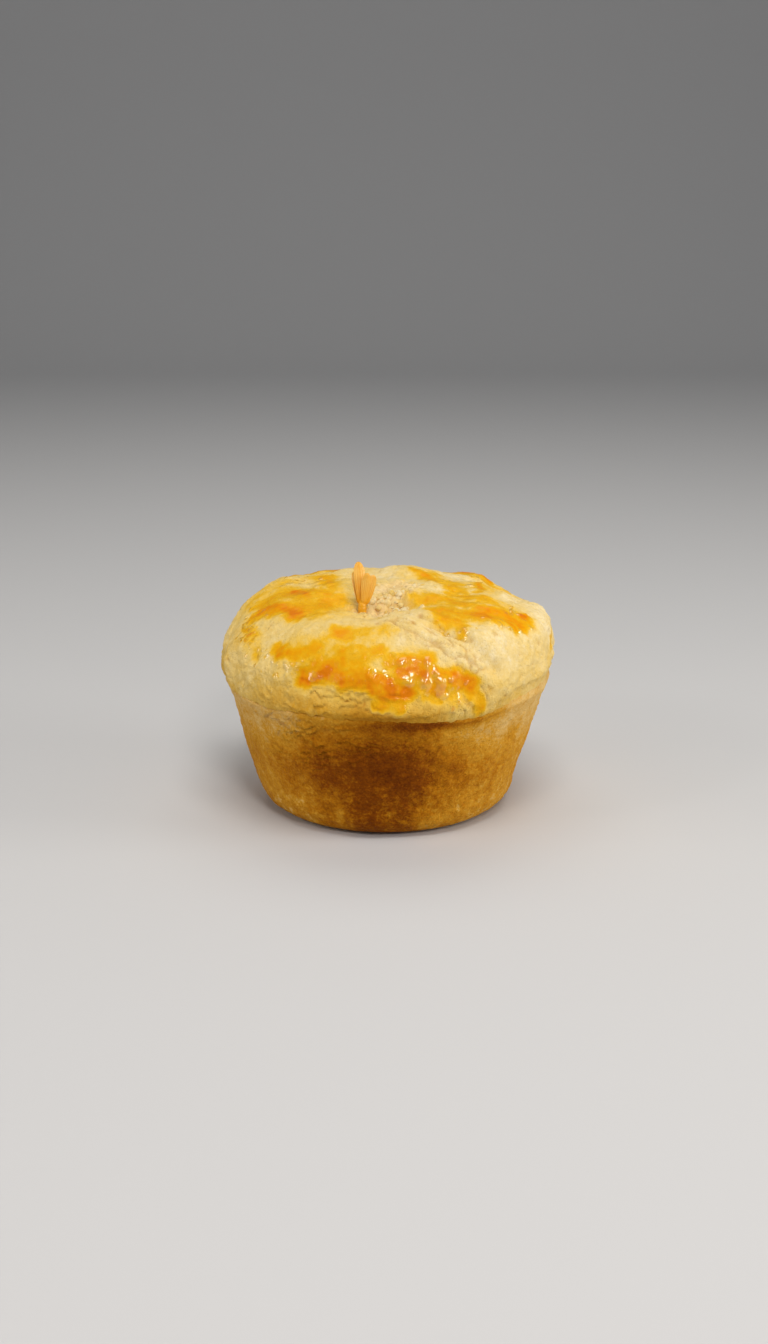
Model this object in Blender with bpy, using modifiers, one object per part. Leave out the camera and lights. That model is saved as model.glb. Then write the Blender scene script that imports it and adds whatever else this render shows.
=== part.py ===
"""A baked shrimp empada: a small round pie turned out of its mould, with a shrimp's tail standing in its lid.

Lengths are in metres and +Z is up. The origin is the middle of the flat base that the pie rests on. The side
where the lid's lip stands out most faces -Y. Case, filling and lid are baked into one piece, so they are one
solid, the crust.
"""

import math

import bmesh
import bpy
import numpy as np
from mathutils import Matrix, Vector

MM = 0.001

# The case, shaped by a plain round mould
BASE_RADIUS = 27.9 * MM  # where the wall's line would meet the table
MOULD_DEPTH = 30.2 * MM  # the height of the seam between case and lid
MOULD_MOUTH_RADIUS = 36.8 * MM
BASE_EDGE_RADIUS = 7.6 * MM  # the round between base and wall

# The lid, which rises over the mould's mouth
LID_RADIUS = 38.0 * MM
LID_WIDEST_HEIGHT = 34.4 * MM
LID_TOP_HEIGHT = 51.6 * MM
LID_SQUARENESS = 2.5  # exponent of the dome's curve: 2 is an ellipse, more is squarer
WIDEST_RING_TILT = 0.05  # rise of the lid's widest ring per metre towards +X

# The seam under the lid's lip
SEAM_GROOVE = 0.3 * MM  # how far the seam is cut in
LIP_OVERHANG = 0.4 * MM  # how far the lip stands out over the case all round
LIP_ROUND = 1.3 * MM  # the height over which the lip rounds out
SEAM_GAP_HEIGHT = 1.2 * MM  # from the groove down to the plain wall
SEAM_WAVES = ((3, 0.35 * MM, 0.6), (5, 0.28 * MM, 2.2), (9, 0.2 * MM, 0.0))  # waves around, height, phase
SEAM_REACH = 1.8 * MM

# Relief of the baked dough: length and height of the waves that make it
LUMPS = (15.0 * MM, 0.34 * MM)
DIMPLES = (6.5 * MM, 0.15 * MM)
TORN_DOUGH = (5.0 * MM, 0.5 * MM)  # only in the hollow round the tail
WALL_EVENNESS = 0.35  # share of the relief that the moulded wall shows
RELIEF_WAVES = 28
RELIEF_SEED = 7

# Mesh sizes
TURN_STEPS = 96
LID_ROW_SPACING = 1.85 * MM
WALL_ROW_SPACING = 2.3 * MM
FIT_GAP = 0.3 * MM

# The shrimp's tail: its last body ring, which is sunk in the dough, and the fan
TAIL_FOOT = Vector((-5.2, -15.5, 47.5)) * MM  # where it leaves the dough
TAIL_SUNK = 2.0 * MM
TAIL_LEAN = math.radians(7.0)  # towards +Y
STEM_HALF_WIDTH = 1.0 * MM
STEM_BELLY = 0.35  # how much wider it is halfway up
STEM_DEEPER = 1.3  # its depth as a share of its width
STEM_HEIGHT = 4.4 * MM
FAN_FACING = Vector((0.35, -0.94, 0)).normalized()
FAN_ROOT = Vector((0, 0, 2.6)) * MM
PADDLE_HALF_DEPTH = 0.5 * MM
PADDLE_WIDEST = 0.68  # share of a paddle's length where it is widest
PADDLE_ROOT = 0.5  # width of its root as a share of its widest
PADDLE_ROOT_SPREAD = 0.3  # how far out its root stands, as a share of its tip
# Each paddle: its tip in millimetres from the tail's foot, half its width in millimetres, and its bend
FAN_PADDLES = {
    "left_outer": ((-0.9, 0.6, 12.1), 1.35, 0.03),
    "left_inner": ((-1.7, 2.4, 9.8), 1.15, 0.05),
    "right_inner": ((1.1, -1.9, 9.9), 1.1, -0.03),
    "right_outer": ((2.5, 0.2, 9.2), 1.15, -0.05),
    "telson": ((0.5, -0.5, 9.0), 0.6, 0.0),
}


class Swelling:
    """A rise in the lid seen from above, in millimetres and degrees. A negative height makes it a hollow."""

    def __init__(self, x, y, height, radius, stretch=1.0, turn=0.0):
        self.x, self.y = x * MM, y * MM
        self.height, self.radius = height * MM, radius * MM
        self.stretch, self.turn = stretch, math.radians(turn)

    def share(self, x, y):
        """1 at its middle and 0 far away: a bell curve, longer by stretch along the turned direction."""
        along = (x - self.x) * math.cos(self.turn) + (y - self.y) * math.sin(self.turn)
        across = (y - self.y) * math.cos(self.turn) - (x - self.x) * math.sin(self.turn)
        return np.exp(-((along / self.stretch) ** 2 + across**2) / self.radius**2)

    def rise(self, x, y):
        """Height at a point."""
        return self.height * self.share(x, y)


class Push:
    """A stretch of the side that bulges out, or is drawn in where its amount is negative, in millimetres."""

    def __init__(self, bearing, height, amount, spread, tall):
        self.bearing, self.spread = math.radians(bearing), math.radians(spread)
        self.height, self.amount, self.tall = height * MM, amount * MM, tall * MM

    def out(self, around, z):
        """How far outward at a bearing and height: a bell curve over both."""
        turned = np.angle(np.exp(1j * (around - self.bearing)))
        return self.amount * np.exp(-((turned / self.spread) ** 2) - ((z - self.height) / self.tall) ** 2)


class Crease:
    """A groove pressed into the lid along a line of points, with soft raised banks, in millimetres."""

    BANK_AWAY = 2.2  # the banks' distance from the line, in widths of the groove
    BANK_SHARE = 0.35  # their height as a share of its depth

    def __init__(self, points, depth, width):
        self.points = np.array(points, float) * MM
        self.depth, self.width = depth * MM, width * MM

    def rise(self, places):
        """Height at places, from their distance to the line."""
        nearest = np.full(len(places), np.inf)
        for start, end in zip(self.points[:-1], self.points[1:]):
            step = end - start
            share = np.clip((places - start) @ step / (step @ step), 0, 1)
            gap = np.linalg.norm(places - start - share[:, None] * step, axis=1)
            nearest = np.minimum(nearest, gap)
        widths = nearest / self.width
        banks = self.BANK_SHARE * np.exp(-((widths - self.BANK_AWAY) ** 2))
        return self.depth * (banks - np.exp(-(widths**2)))


SWELLINGS = {
    "vent_hollow": Swelling(-1.0, -13.0, -2.7, 6.5, 1.35, 8),
    "ridge_behind_vent": Swelling(3.5, 10.0, 1.7, 4.6, 1.3, 15),
    "left_back_shoulder": Swelling(-25.0, 14.0, 1.8, 10.0),
    "right_back_shoulder": Swelling(31.0, 12.0, -2.0, 8.5),
    "front_pillow": Swelling(6.0, -29.0, 0.9, 6.0, 1.5, 5),
    "right_pillow": Swelling(26.0, -20.0, 1.1, 7.5, 1.2, -50),
    "left_hollow": Swelling(-20.0, -17.0, -0.7, 8.0, 1.2, 30),
}
PUSHES = {
    "drawn_in_left": Push(180, 33, -1.0, 38, 9),
    "right_brow": Push(5, 41, 0.7, 28, 4.5),
    "right_pillow_side": Push(-42, 36, 0.6, 18, 4),
    "lip_in_front": Push(-80, 32.2, 1.1, 33, 1.7),
    "lip_on_the_right": Push(-15, 33.0, 0.4, 25, 1.7),
    "lip_behind": Push(75, 32.4, 0.7, 45, 1.8),
}
CREASES = {
    "beside_the_front_pillow": Crease(
        [(4, -20.5, 49.5), (9, -25.5, 48.3), (15, -28.2, 46), (20, -29.7, 43), (23.5, -29.7, 39.5)], 1.0, 1.5
    ),
    "front_left": Crease([(-21.5, -29.5, 39), (-21.3, -30.5, 35), (-20.8, -30.6, 31.5)], 0.5, 0.9),
    "far_left": Crease([(-28.5, -21.5, 42), (-28.9, -23, 37), (-28, -23.6, 32)], 0.3, 1.0),
}


def ease(value, low, high):
    """0 below low, 1 above high, and smooth between."""
    share = np.clip((value - low) / (high - low), 0, 1)
    return share * share * (3 - 2 * share)


def wave_field(places, length, seed):
    """Smooth random height, about -1.5 to 1.5: a sum of equal plane waves with directions drawn at random."""
    draw = np.random.default_rng(seed)
    ways = draw.normal(size=(RELIEF_WAVES, 3))
    ways /= np.linalg.norm(ways, axis=1, keepdims=True)
    lengths = length * draw.uniform(0.75, 1.35, RELIEF_WAVES)
    phases = draw.uniform(0, 2 * np.pi, RELIEF_WAVES)
    turns = places @ (2 * np.pi * ways / lengths[:, None]).T + phases
    return np.cos(turns).sum(axis=1) * math.sqrt(2 / RELIEF_WAVES)


def evenly_spaced(outline, spacing):
    """The outline's points again, spaced evenly along it."""
    run = np.concatenate([[0], np.cumsum(np.linalg.norm(np.diff(outline, axis=0), axis=1))])
    marks = np.linspace(0, run[-1], max(3, round(run[-1] / spacing) + 1))
    return np.stack([np.interp(marks, run, outline[:, 0]), np.interp(marks, run, outline[:, 1])], axis=1)


def lid_outline():
    """From the middle of the top over the dome, a superellipse, and down its side to the top of the lip."""
    turn = np.linspace(math.pi / 2, 0, 200)
    power = 2 / LID_SQUARENESS
    dome_radii = LID_RADIUS * np.cos(turn).clip(0) ** power
    dome_heights = LID_WIDEST_HEIGHT + (LID_TOP_HEIGHT - LID_WIDEST_HEIGHT) * np.sin(turn) ** power
    down = np.linspace(0, 1, 12)[1:]
    side_radii = LID_RADIUS + (MOULD_MOUTH_RADIUS + LIP_OVERHANG - LID_RADIUS) * down**2
    side_heights = LID_WIDEST_HEIGHT + (MOULD_DEPTH + LIP_ROUND - LID_WIDEST_HEIGHT) * down
    radii = np.concatenate([dome_radii, side_radii])
    heights = np.concatenate([dome_heights, side_heights])
    return evenly_spaced(np.stack([radii, heights], axis=1), LID_ROW_SPACING)


def lip_outline():
    """Under the lip, a quarter ellipse that ends in the seam's groove."""
    curl = np.radians([30, 60, 90])
    radii = MOULD_MOUTH_RADIUS - SEAM_GROOVE + (LIP_OVERHANG + SEAM_GROOVE) * np.cos(curl)
    heights = MOULD_DEPTH + LIP_ROUND * (1 - np.sin(curl))
    return np.stack([radii, heights], axis=1)


def case_outline():
    """Down the mould's straight wall, round the bottom edge, and in to where the flat base begins."""
    slope = math.atan2(MOULD_MOUTH_RADIUS - BASE_RADIUS, MOULD_DEPTH)
    corner = math.pi / 2 - slope
    tangent = BASE_EDGE_RADIUS * math.tan(corner / 2)
    wall_heights = np.linspace(MOULD_DEPTH - SEAM_GAP_HEIGHT, tangent * math.cos(slope), 40)
    wall_radii = BASE_RADIUS + (MOULD_MOUTH_RADIUS - BASE_RADIUS) * wall_heights / MOULD_DEPTH
    sweep = np.linspace(corner, 0, 24)[1:]
    edge_radii = BASE_RADIUS - tangent + BASE_EDGE_RADIUS * np.sin(sweep)
    edge_heights = BASE_EDGE_RADIUS * (1 - np.cos(sweep))
    radii = np.concatenate([wall_radii, edge_radii])
    heights = np.concatenate([wall_heights, edge_heights])
    return evenly_spaced(np.stack([radii, heights], axis=1), WALL_ROW_SPACING)


def crust_outline():
    """The crust's half section from the middle of its top, down its outer side, to the middle of its base."""
    return np.concatenate([lid_outline(), lip_outline(), case_outline(), [[0.0, 0.0]]])


def bake_relief(places, normals):
    """Moves the turned surface to the baked one: lid tilt, wavy seam, swellings, creases and lumps.

    The base stays flat.
    """
    x, y, z = places.T
    around = np.arctan2(y, x)
    on_lid = ease(z, MOULD_DEPTH - 0.2 * MM, MOULD_DEPTH + 1.5 * MM)
    on_top = ease(z, LID_WIDEST_HEIGHT + 2 * MM, LID_TOP_HEIGHT - 4 * MM)
    near_widest = on_lid * (1 - ease(z, LID_TOP_HEIGHT - 9 * MM, LID_TOP_HEIGHT - 2 * MM))
    off_base = ease(z, 0.4 * MM, 5 * MM)

    moved = places.copy()
    moved[:, 2] += WIDEST_RING_TILT * x * near_widest
    moved[:, 2] += on_top * sum(swelling.rise(x, y) for swelling in SWELLINGS.values())
    wander = sum(height * np.cos(count * around + phase) for count, height, phase in SEAM_WAVES)
    moved[:, 2] += wander * np.exp(-(((z - MOULD_DEPTH) / SEAM_REACH) ** 2))

    out = off_base * sum(push.out(around, z) for push in PUSHES.values())
    evenness = off_base * (WALL_EVENNESS + (1 - WALL_EVENNESS) * on_lid)
    torn = on_top * SWELLINGS["vent_hollow"].share(x, y)
    for seed_step, ((length, height), where) in enumerate(
        [(LUMPS, evenness), (DIMPLES, evenness), (TORN_DOUGH, torn)]
    ):
        out += height * where * wave_field(places, length, RELIEF_SEED + seed_step)
    out += on_lid * sum(crease.rise(moved) for crease in CREASES.values())
    return moved + normals * out[:, None]


def mesh_object(name, bm, collection):
    """A new object that holds the given bmesh."""
    mesh = bpy.data.meshes.new(name)
    bm.to_mesh(mesh)
    bm.free()
    obj = bpy.data.objects.new(name, mesh)
    collection.objects.link(obj)
    return obj


def apply_modifiers(obj):
    """Replaces an object's mesh by what its modifiers make of it."""
    graph = bpy.context.evaluated_depsgraph_get()
    made = bpy.data.meshes.new_from_object(obj.evaluated_get(graph))
    obj.modifiers.clear()
    obj.data = made


def principled(name, colour, roughness):
    """A plain surface material."""
    material = bpy.data.materials.new(name)
    material.use_nodes = True
    shader = material.node_tree.nodes["Principled BSDF"]
    shader.inputs["Base Color"].default_value = (*colour, 1)
    shader.inputs["Roughness"].default_value = roughness
    shader.inputs["Metallic"].default_value = 0.0
    return material


def read_vectors(source, field, count):
    """One vector a row from a mesh's list of vertices or normals."""
    flat = np.empty(count * 3, np.float32)
    source.foreach_get(field, flat)
    return flat.reshape(-1, 3).astype(float)


def make_crust(collection):
    """Crust and filling as one closed solid: a turned outline, then the relief of the baked dough."""
    bm = bmesh.new()
    rim = [bm.verts.new((radius, 0, height)) for radius, height in crust_outline()]
    for first, second in zip(rim[:-1], rim[1:]):
        bm.edges.new((first, second))
    crust = mesh_object("crust", bm, collection)
    screw = crust.modifiers.new("turn", "SCREW")
    screw.steps = TURN_STEPS
    screw.render_steps = TURN_STEPS
    screw.use_merge_vertices = True
    screw.merge_threshold = 1e-6
    apply_modifiers(crust)

    mesh = crust.data
    count = len(mesh.vertices)
    places = read_vectors(mesh.vertices, "co", count)
    normals = read_vectors(mesh.vertex_normals, "vector", count)
    baked = bake_relief(places, normals)
    mesh.vertices.foreach_set("co", baked.astype(np.float32).ravel())
    mesh.update()
    mesh.shade_smooth()
    mesh.materials.append(principled("baked_dough", (0.72, 0.44, 0.13), 0.62))
    return crust


def tail_axes():
    """The tail's own place and lean: its foot at the origin, and up along +Z."""
    return Matrix.Translation(TAIL_FOOT) @ Matrix.Rotation(-TAIL_LEAN, 4, "X")


def make_tail_stem(name, extra, collection):
    """The shrimp's last body ring, from below the dough to the root of the fan, wider all round by extra."""
    bm = bmesh.new()
    bmesh.ops.create_cone(bm, cap_ends=True, segments=16, radius1=1, radius2=1, depth=2)
    upright = [edge for edge in bm.edges if abs(edge.verts[0].co.z - edge.verts[1].co.z) > 1]
    bmesh.ops.subdivide_edges(bm, edges=upright, cuts=5)
    low = -TAIL_SUNK - extra
    for vert in bm.verts:
        share = 0.5 + 0.5 * vert.co.z
        half = STEM_HALF_WIDTH * (1 + STEM_BELLY * math.sin(math.pi * share)) + extra
        height = low + (STEM_HEIGHT - low) * share
        vert.co = Vector((vert.co.x * half, vert.co.y * half * STEM_DEEPER, height))
    bm.transform(tail_axes())
    return mesh_object(name, bm, collection)


def paddle_width(share):
    """Width of a paddle along its length, as a share of its widest: it opens from its root and ends round."""
    opening = math.sin(0.5 * math.pi * min(1.0, share / PADDLE_WIDEST))
    past = max(0.0, share - PADDLE_WIDEST) / (1 - PADDLE_WIDEST)
    return (PADDLE_ROOT + (1 - PADDLE_ROOT) * opening) * math.sqrt(max(0.0, 1 - past**2.2))


def make_paddle(name, tip, half_width, bend, collection):
    """One paddle of the fan: a sphere stretched from root to tip, flattened towards FAN_FACING, and bent."""
    root = FAN_ROOT + Vector((tip.x, tip.y, 0)) * PADDLE_ROOT_SPREAD
    reach = tip - root
    across = FAN_FACING.cross(reach).normalized()
    face = reach.cross(across).normalized()
    bm = bmesh.new()
    bmesh.ops.create_uvsphere(bm, u_segments=12, v_segments=10, radius=1.0)
    for vert in bm.verts:
        share = 0.5 + 0.5 * vert.co.z
        ring = math.hypot(vert.co.x, vert.co.y)
        side, front = (vert.co.x / ring, vert.co.y / ring) if ring > 1e-6 else (0.0, 0.0)
        width = paddle_width(share)
        aside = side * half_width * width
        bowed = bend * math.sin(math.pi * share) * reach.length
        forward = front * PADDLE_HALF_DEPTH * math.sqrt(width) + bowed
        vert.co = root + reach * share + across * aside + face * forward
    bm.transform(tail_axes())
    return mesh_object(name, bm, collection)


def make_shrimp_tail(collection):
    """The tail as one solid: the body ring with four paddles and the middle spike fused onto it."""
    shapes = bpy.data.collections.new("tail_shapes")
    bpy.context.scene.collection.children.link(shapes)
    tail = make_tail_stem("shrimp_tail", 0.0, collection)
    for name, (tip, half_width, bend) in FAN_PADDLES.items():
        make_paddle(name, Vector(tip) * MM, half_width * MM, bend, shapes)
    fuse = tail.modifiers.new("fuse", "BOOLEAN")
    fuse.operation = "UNION"
    fuse.operand_type = "COLLECTION"
    fuse.collection = shapes
    fuse.solver = "EXACT"
    apply_modifiers(tail)
    for obj in list(shapes.objects):
        bpy.data.objects.remove(obj)
    bpy.data.collections.remove(shapes)
    tail.data.shade_smooth()
    tail.data.materials.clear()
    tail.data.materials.append(principled("cooked_shrimp", (0.85, 0.42, 0.16), 0.4))


def cut_socket(crust, cutters):
    """Opens the crust where the tail is sunk into it, a fit gap wider than the tail."""
    plug = make_tail_stem("tail_socket_cutter", FIT_GAP, cutters)
    plug.hide_render = True
    plug.display_type = "WIRE"
    cut = crust.modifiers.new("tail_socket", "BOOLEAN")
    cut.operation = "DIFFERENCE"
    cut.object = plug
    cut.solver = "EXACT"


def main():
    """Clears the scene and builds the pie."""
    for obj in list(bpy.data.objects):
        bpy.data.objects.remove(obj)
    parts = bpy.data.collections.new("shrimp_empada")
    cutters = bpy.data.collections.new("cutters")
    for collection in (parts, cutters):
        bpy.context.scene.collection.children.link(collection)
    crust = make_crust(parts)
    make_shrimp_tail(parts)
    cut_socket(crust, cutters)


main()
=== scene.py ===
"""The looks of a baked shrimp empada: its egg-washed lid, its moulded case and the shrimp's tail in the lid.

Lengths are in metres and +Z is up. The origin is the middle of the flat base, and the front faces -Y. The
form is the one that the solids have, worked out again from the same sizes on much finer grids, with the fine
relief of the dough added along its normals. A place on the lid is also given on the lid's unrolled map, in
millimetres: the way along the surface from the middle of the top, split into its parts towards +X and +Y.
"""

import logging
import math
from dataclasses import dataclass, field
from enum import Enum

import bpy
import numpy as np
from mathutils import Euler, Matrix, Vector
from numpy.typing import NDArray


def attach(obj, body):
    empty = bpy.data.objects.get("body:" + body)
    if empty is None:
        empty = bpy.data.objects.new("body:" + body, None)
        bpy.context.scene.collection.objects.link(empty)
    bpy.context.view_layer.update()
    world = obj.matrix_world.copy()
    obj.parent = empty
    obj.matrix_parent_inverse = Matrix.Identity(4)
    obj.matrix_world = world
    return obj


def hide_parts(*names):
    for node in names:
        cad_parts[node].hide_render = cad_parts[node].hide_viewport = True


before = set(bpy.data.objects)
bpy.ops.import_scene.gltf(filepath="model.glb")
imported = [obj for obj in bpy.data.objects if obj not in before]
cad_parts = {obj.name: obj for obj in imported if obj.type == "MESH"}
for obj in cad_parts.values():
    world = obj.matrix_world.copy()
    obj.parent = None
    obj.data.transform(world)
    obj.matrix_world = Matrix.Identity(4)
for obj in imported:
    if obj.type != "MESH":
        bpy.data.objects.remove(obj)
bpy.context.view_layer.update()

Array = NDArray[np.float64]
Pair = tuple[float, float]
Triple = tuple[float, float, float]
Tint = tuple[float, float, float, float]
Socket = bpy.types.NodeSocket
MM = 0.001
LOG = logging.getLogger("shrimp_empada")


class Slot(Enum):
    """The record's material slots."""

    CRUST = "baked_crust"
    SHRIMP = "cooked_shrimp"


def ease(value: Array, low: float, high: float) -> Array:
    """0 below low, 1 above high, and smooth between."""
    share = np.clip((value - low) / (high - low), 0, 1)
    return share * share * (3 - 2 * share)


def bell(value: Array, middle: float, reach: float) -> Array:
    """1 at the middle, and falling off on both sides as a bell curve."""
    return np.exp(-(((value - middle) / reach) ** 2))


def turn_from(around: Array, bearing: float) -> Array:
    """The turn from a bearing in degrees to others in radians, at most half a turn to either side."""
    return np.angle(np.exp(1j * (around - math.radians(bearing))))


def bell_round(around: Array, bearing: float, spread: float) -> Array:
    """1 at a bearing and falling off on both sides as a bell curve, with bearing and spread in degrees."""
    return bell(turn_from(around, bearing), 0, math.radians(spread))


def colour(red: int, green: int, blue: int) -> Tint:
    """A screen colour as the linear colour that shaders take.

    Args:
        red: Its red, from 0 to 255.
        green: Its green.
        blue: Its blue.

    Returns:
        Its linear red, green and blue, and an opacity of 1.
    """
    shares = np.array([red, green, blue]) / 255
    linear = np.where(shares <= 0.04045, shares / 12.92, ((shares + 0.055) / 1.055) ** 2.4)
    return (*(float(part) for part in linear), 1.0)


class GradientNoise:
    """Smooth random height in space: each corner of a grid of cells has a random slope, and they blend.

    Reliefs that should have nothing to do with each other read it some millimetres apart.
    """

    SIZE = 256

    def __init__(self, seed: int) -> None:
        """Draws the order of the corners and their slopes.

        Args:
            seed: The same seed gives the same noise.
        """
        draw = np.random.default_rng(seed)
        self.order = draw.permutation(self.SIZE)
        slopes = draw.normal(size=(self.SIZE, 3))
        self.slopes = slopes / np.linalg.norm(slopes, axis=1, keepdims=True)

    def at(self, places: Array, length: float | Triple) -> Array:
        """Height at places.

        Args:
            places: One place a row.
            length: Size of a cell, or its size along each axis.

        Returns:
            Heights of about -0.7 to 0.7.
        """
        scaled = places / length
        cells = np.floor(scaled).astype(int)
        inside = scaled - cells
        fade = inside**3 * (inside * (inside * 6 - 15) + 10)
        total = np.zeros(len(places))
        for corner in np.ndindex(2, 2, 2):
            step = np.array(corner)
            spot = (cells + step) % self.SIZE
            row = self.order[spot[:, 0]]
            row = self.order[(row + spot[:, 1]) % self.SIZE]
            row = self.order[(row + spot[:, 2]) % self.SIZE]
            slope = np.einsum("ij,ij->i", self.slopes[row], inside - step)
            total += slope * np.prod(np.where(step == 1, fade, 1 - fade), axis=1)
        return total

    def layers(self, places: Array, length: float, count: int, keep: float = 0.5) -> Array:
        """Noise of one length with finer ones on it, each half as long as the last.

        Args:
            places: One place a row.
            length: Size of the largest cells.
            count: How many layers.
            keep: Height of a layer as a share of the last one's.

        Returns:
            The summed heights.
        """
        return sum(keep**step * self.at(places + step * 17 * MM, length / 2**step) for step in range(count))

    def shifts(self, places: Array, length: float, apart: float, count: int = 1) -> Array:
        """Two heights for each place that have nothing to do with each other, to shift spots of a map by.

        Args:
            places: One place a row.
            length: Size of the largest cells.
            apart: How far away the first is read, and then the second from the first.
            count: How many layers.

        Returns:
            Two heights a row.
        """
        return np.stack([self.layers(places + step * apart, length, count) for step in (1, 2)], axis=1)


NOISE = GradientNoise(41)


def nearest_on_line(places: Array, line: Array) -> Array:
    """Distance from each place to a line of points.

    Args:
        places: One place a row.
        line: The line's points, one a row.

    Returns:
        One distance a place.
    """
    nearest = np.full(len(places), np.inf)
    for start, end in zip(line[:-1], line[1:]):
        step = end - start
        share = np.clip((places - start) @ step / (step @ step), 0, 1)
        nearest = np.minimum(nearest, np.linalg.norm(places - start - share[:, None] * step, axis=1))
    return nearest


@dataclass(frozen=True)
class Swelling:
    """A rise in the lid seen from above, in millimetres and degrees. A negative height makes it a hollow."""

    x: float
    y: float
    height: float
    radius: float
    stretch: float = 1.0
    turn: float = 0.0

    def share(self, x: Array, y: Array) -> Array:
        """A bell curve about its middle, longer by stretch along the turned direction.

        Args:
            x: Where the points lie along X, in metres.
            y: Where they lie along Y.

        Returns:
            1 at its middle, falling to 0 far away.
        """
        turn = math.radians(self.turn)
        away_x, away_y = x / MM - self.x, y / MM - self.y
        along = away_x * math.cos(turn) + away_y * math.sin(turn)
        across = away_y * math.cos(turn) - away_x * math.sin(turn)
        return np.exp(-((along / self.stretch) ** 2 + across**2) / self.radius**2)

    def rise(self, x: Array, y: Array) -> Array:
        """Height at a point."""
        return self.height * MM * self.share(x, y)


@dataclass(frozen=True)
class Push:
    """A stretch of the side that bulges out or is browned by an amount, or the reverse where that is below 0.

    Its bearing and its spread round the pie are in degrees. Its height and how tall it is are in millimetres.
    On the case, the darker front is partly painted shade, and the band under the lip is painted shadow.
    """

    bearing: float
    height: float
    amount: float
    spread: float
    tall: float

    def felt(self, around: Array, z: Array) -> Array:
        """The amount at a bearing and height: a bell curve over both."""
        sideways = turn_from(around, self.bearing) / math.radians(self.spread)
        return self.amount * np.exp(-(sideways**2 + ((z / MM - self.height) / self.tall) ** 2))


@dataclass(frozen=True)
class Crease:
    """A groove pressed into the dough along a line of points, with soft raised banks, in millimetres."""

    points: tuple[Triple, ...]
    depth: float
    width: float
    bank_away: float = 2.2
    bank_share: float = 0.35

    def rise(self, places: Array) -> Array:
        """Height at places: a bell-shaped groove, and a bell-shaped bank bank_away widths from its line."""
        away = nearest_on_line(places / MM, np.array(self.points)) / self.width
        return self.depth * MM * (self.bank_share * bell(away, self.bank_away, 1.0) - bell(away, 0.0, 1.0))


@dataclass(frozen=True)
class Profile:
    """A half section that is turned about Z: radii and heights, one point a row, from the top down."""

    points: Array

    def run(self) -> Array:
        """The way along the section to each of its points."""
        steps = np.linalg.norm(np.diff(self.points, axis=0), axis=1)
        return np.concatenate([[0], np.cumsum(steps)])

    def at(self, along: Array) -> tuple[Array, Array, Array, Array]:
        """The section at ways along it.

        Args:
            along: Ways along the section from its start.

        Returns:
            Radius, height, and the outward normal's radial and upward parts.
        """
        run = self.run()
        slopes = np.gradient(self.points, run, axis=0)
        slopes /= np.linalg.norm(slopes, axis=1, keepdims=True)
        radius, height, out, down = (
            np.interp(along, run, column) for column in (*self.points.T, *slopes.T)
        )
        return radius, height, -down, out

    def turned(self, along: Array, around: Array) -> tuple[Array, Array]:
        """Places and normals on the turned surface.

        Args:
            along: Ways along the section.
            around: Bearings from +X, in radians.

        Returns:
            Places and outward normals, one a row.
        """
        radius, height, normal_out, normal_up = self.at(along)
        cosine, sine = np.cos(around), np.sin(around)
        places = np.stack([radius * cosine, radius * sine, height], axis=1)
        normals = np.stack([normal_out * cosine, normal_out * sine, normal_up], axis=1)
        return places, normals


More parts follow.
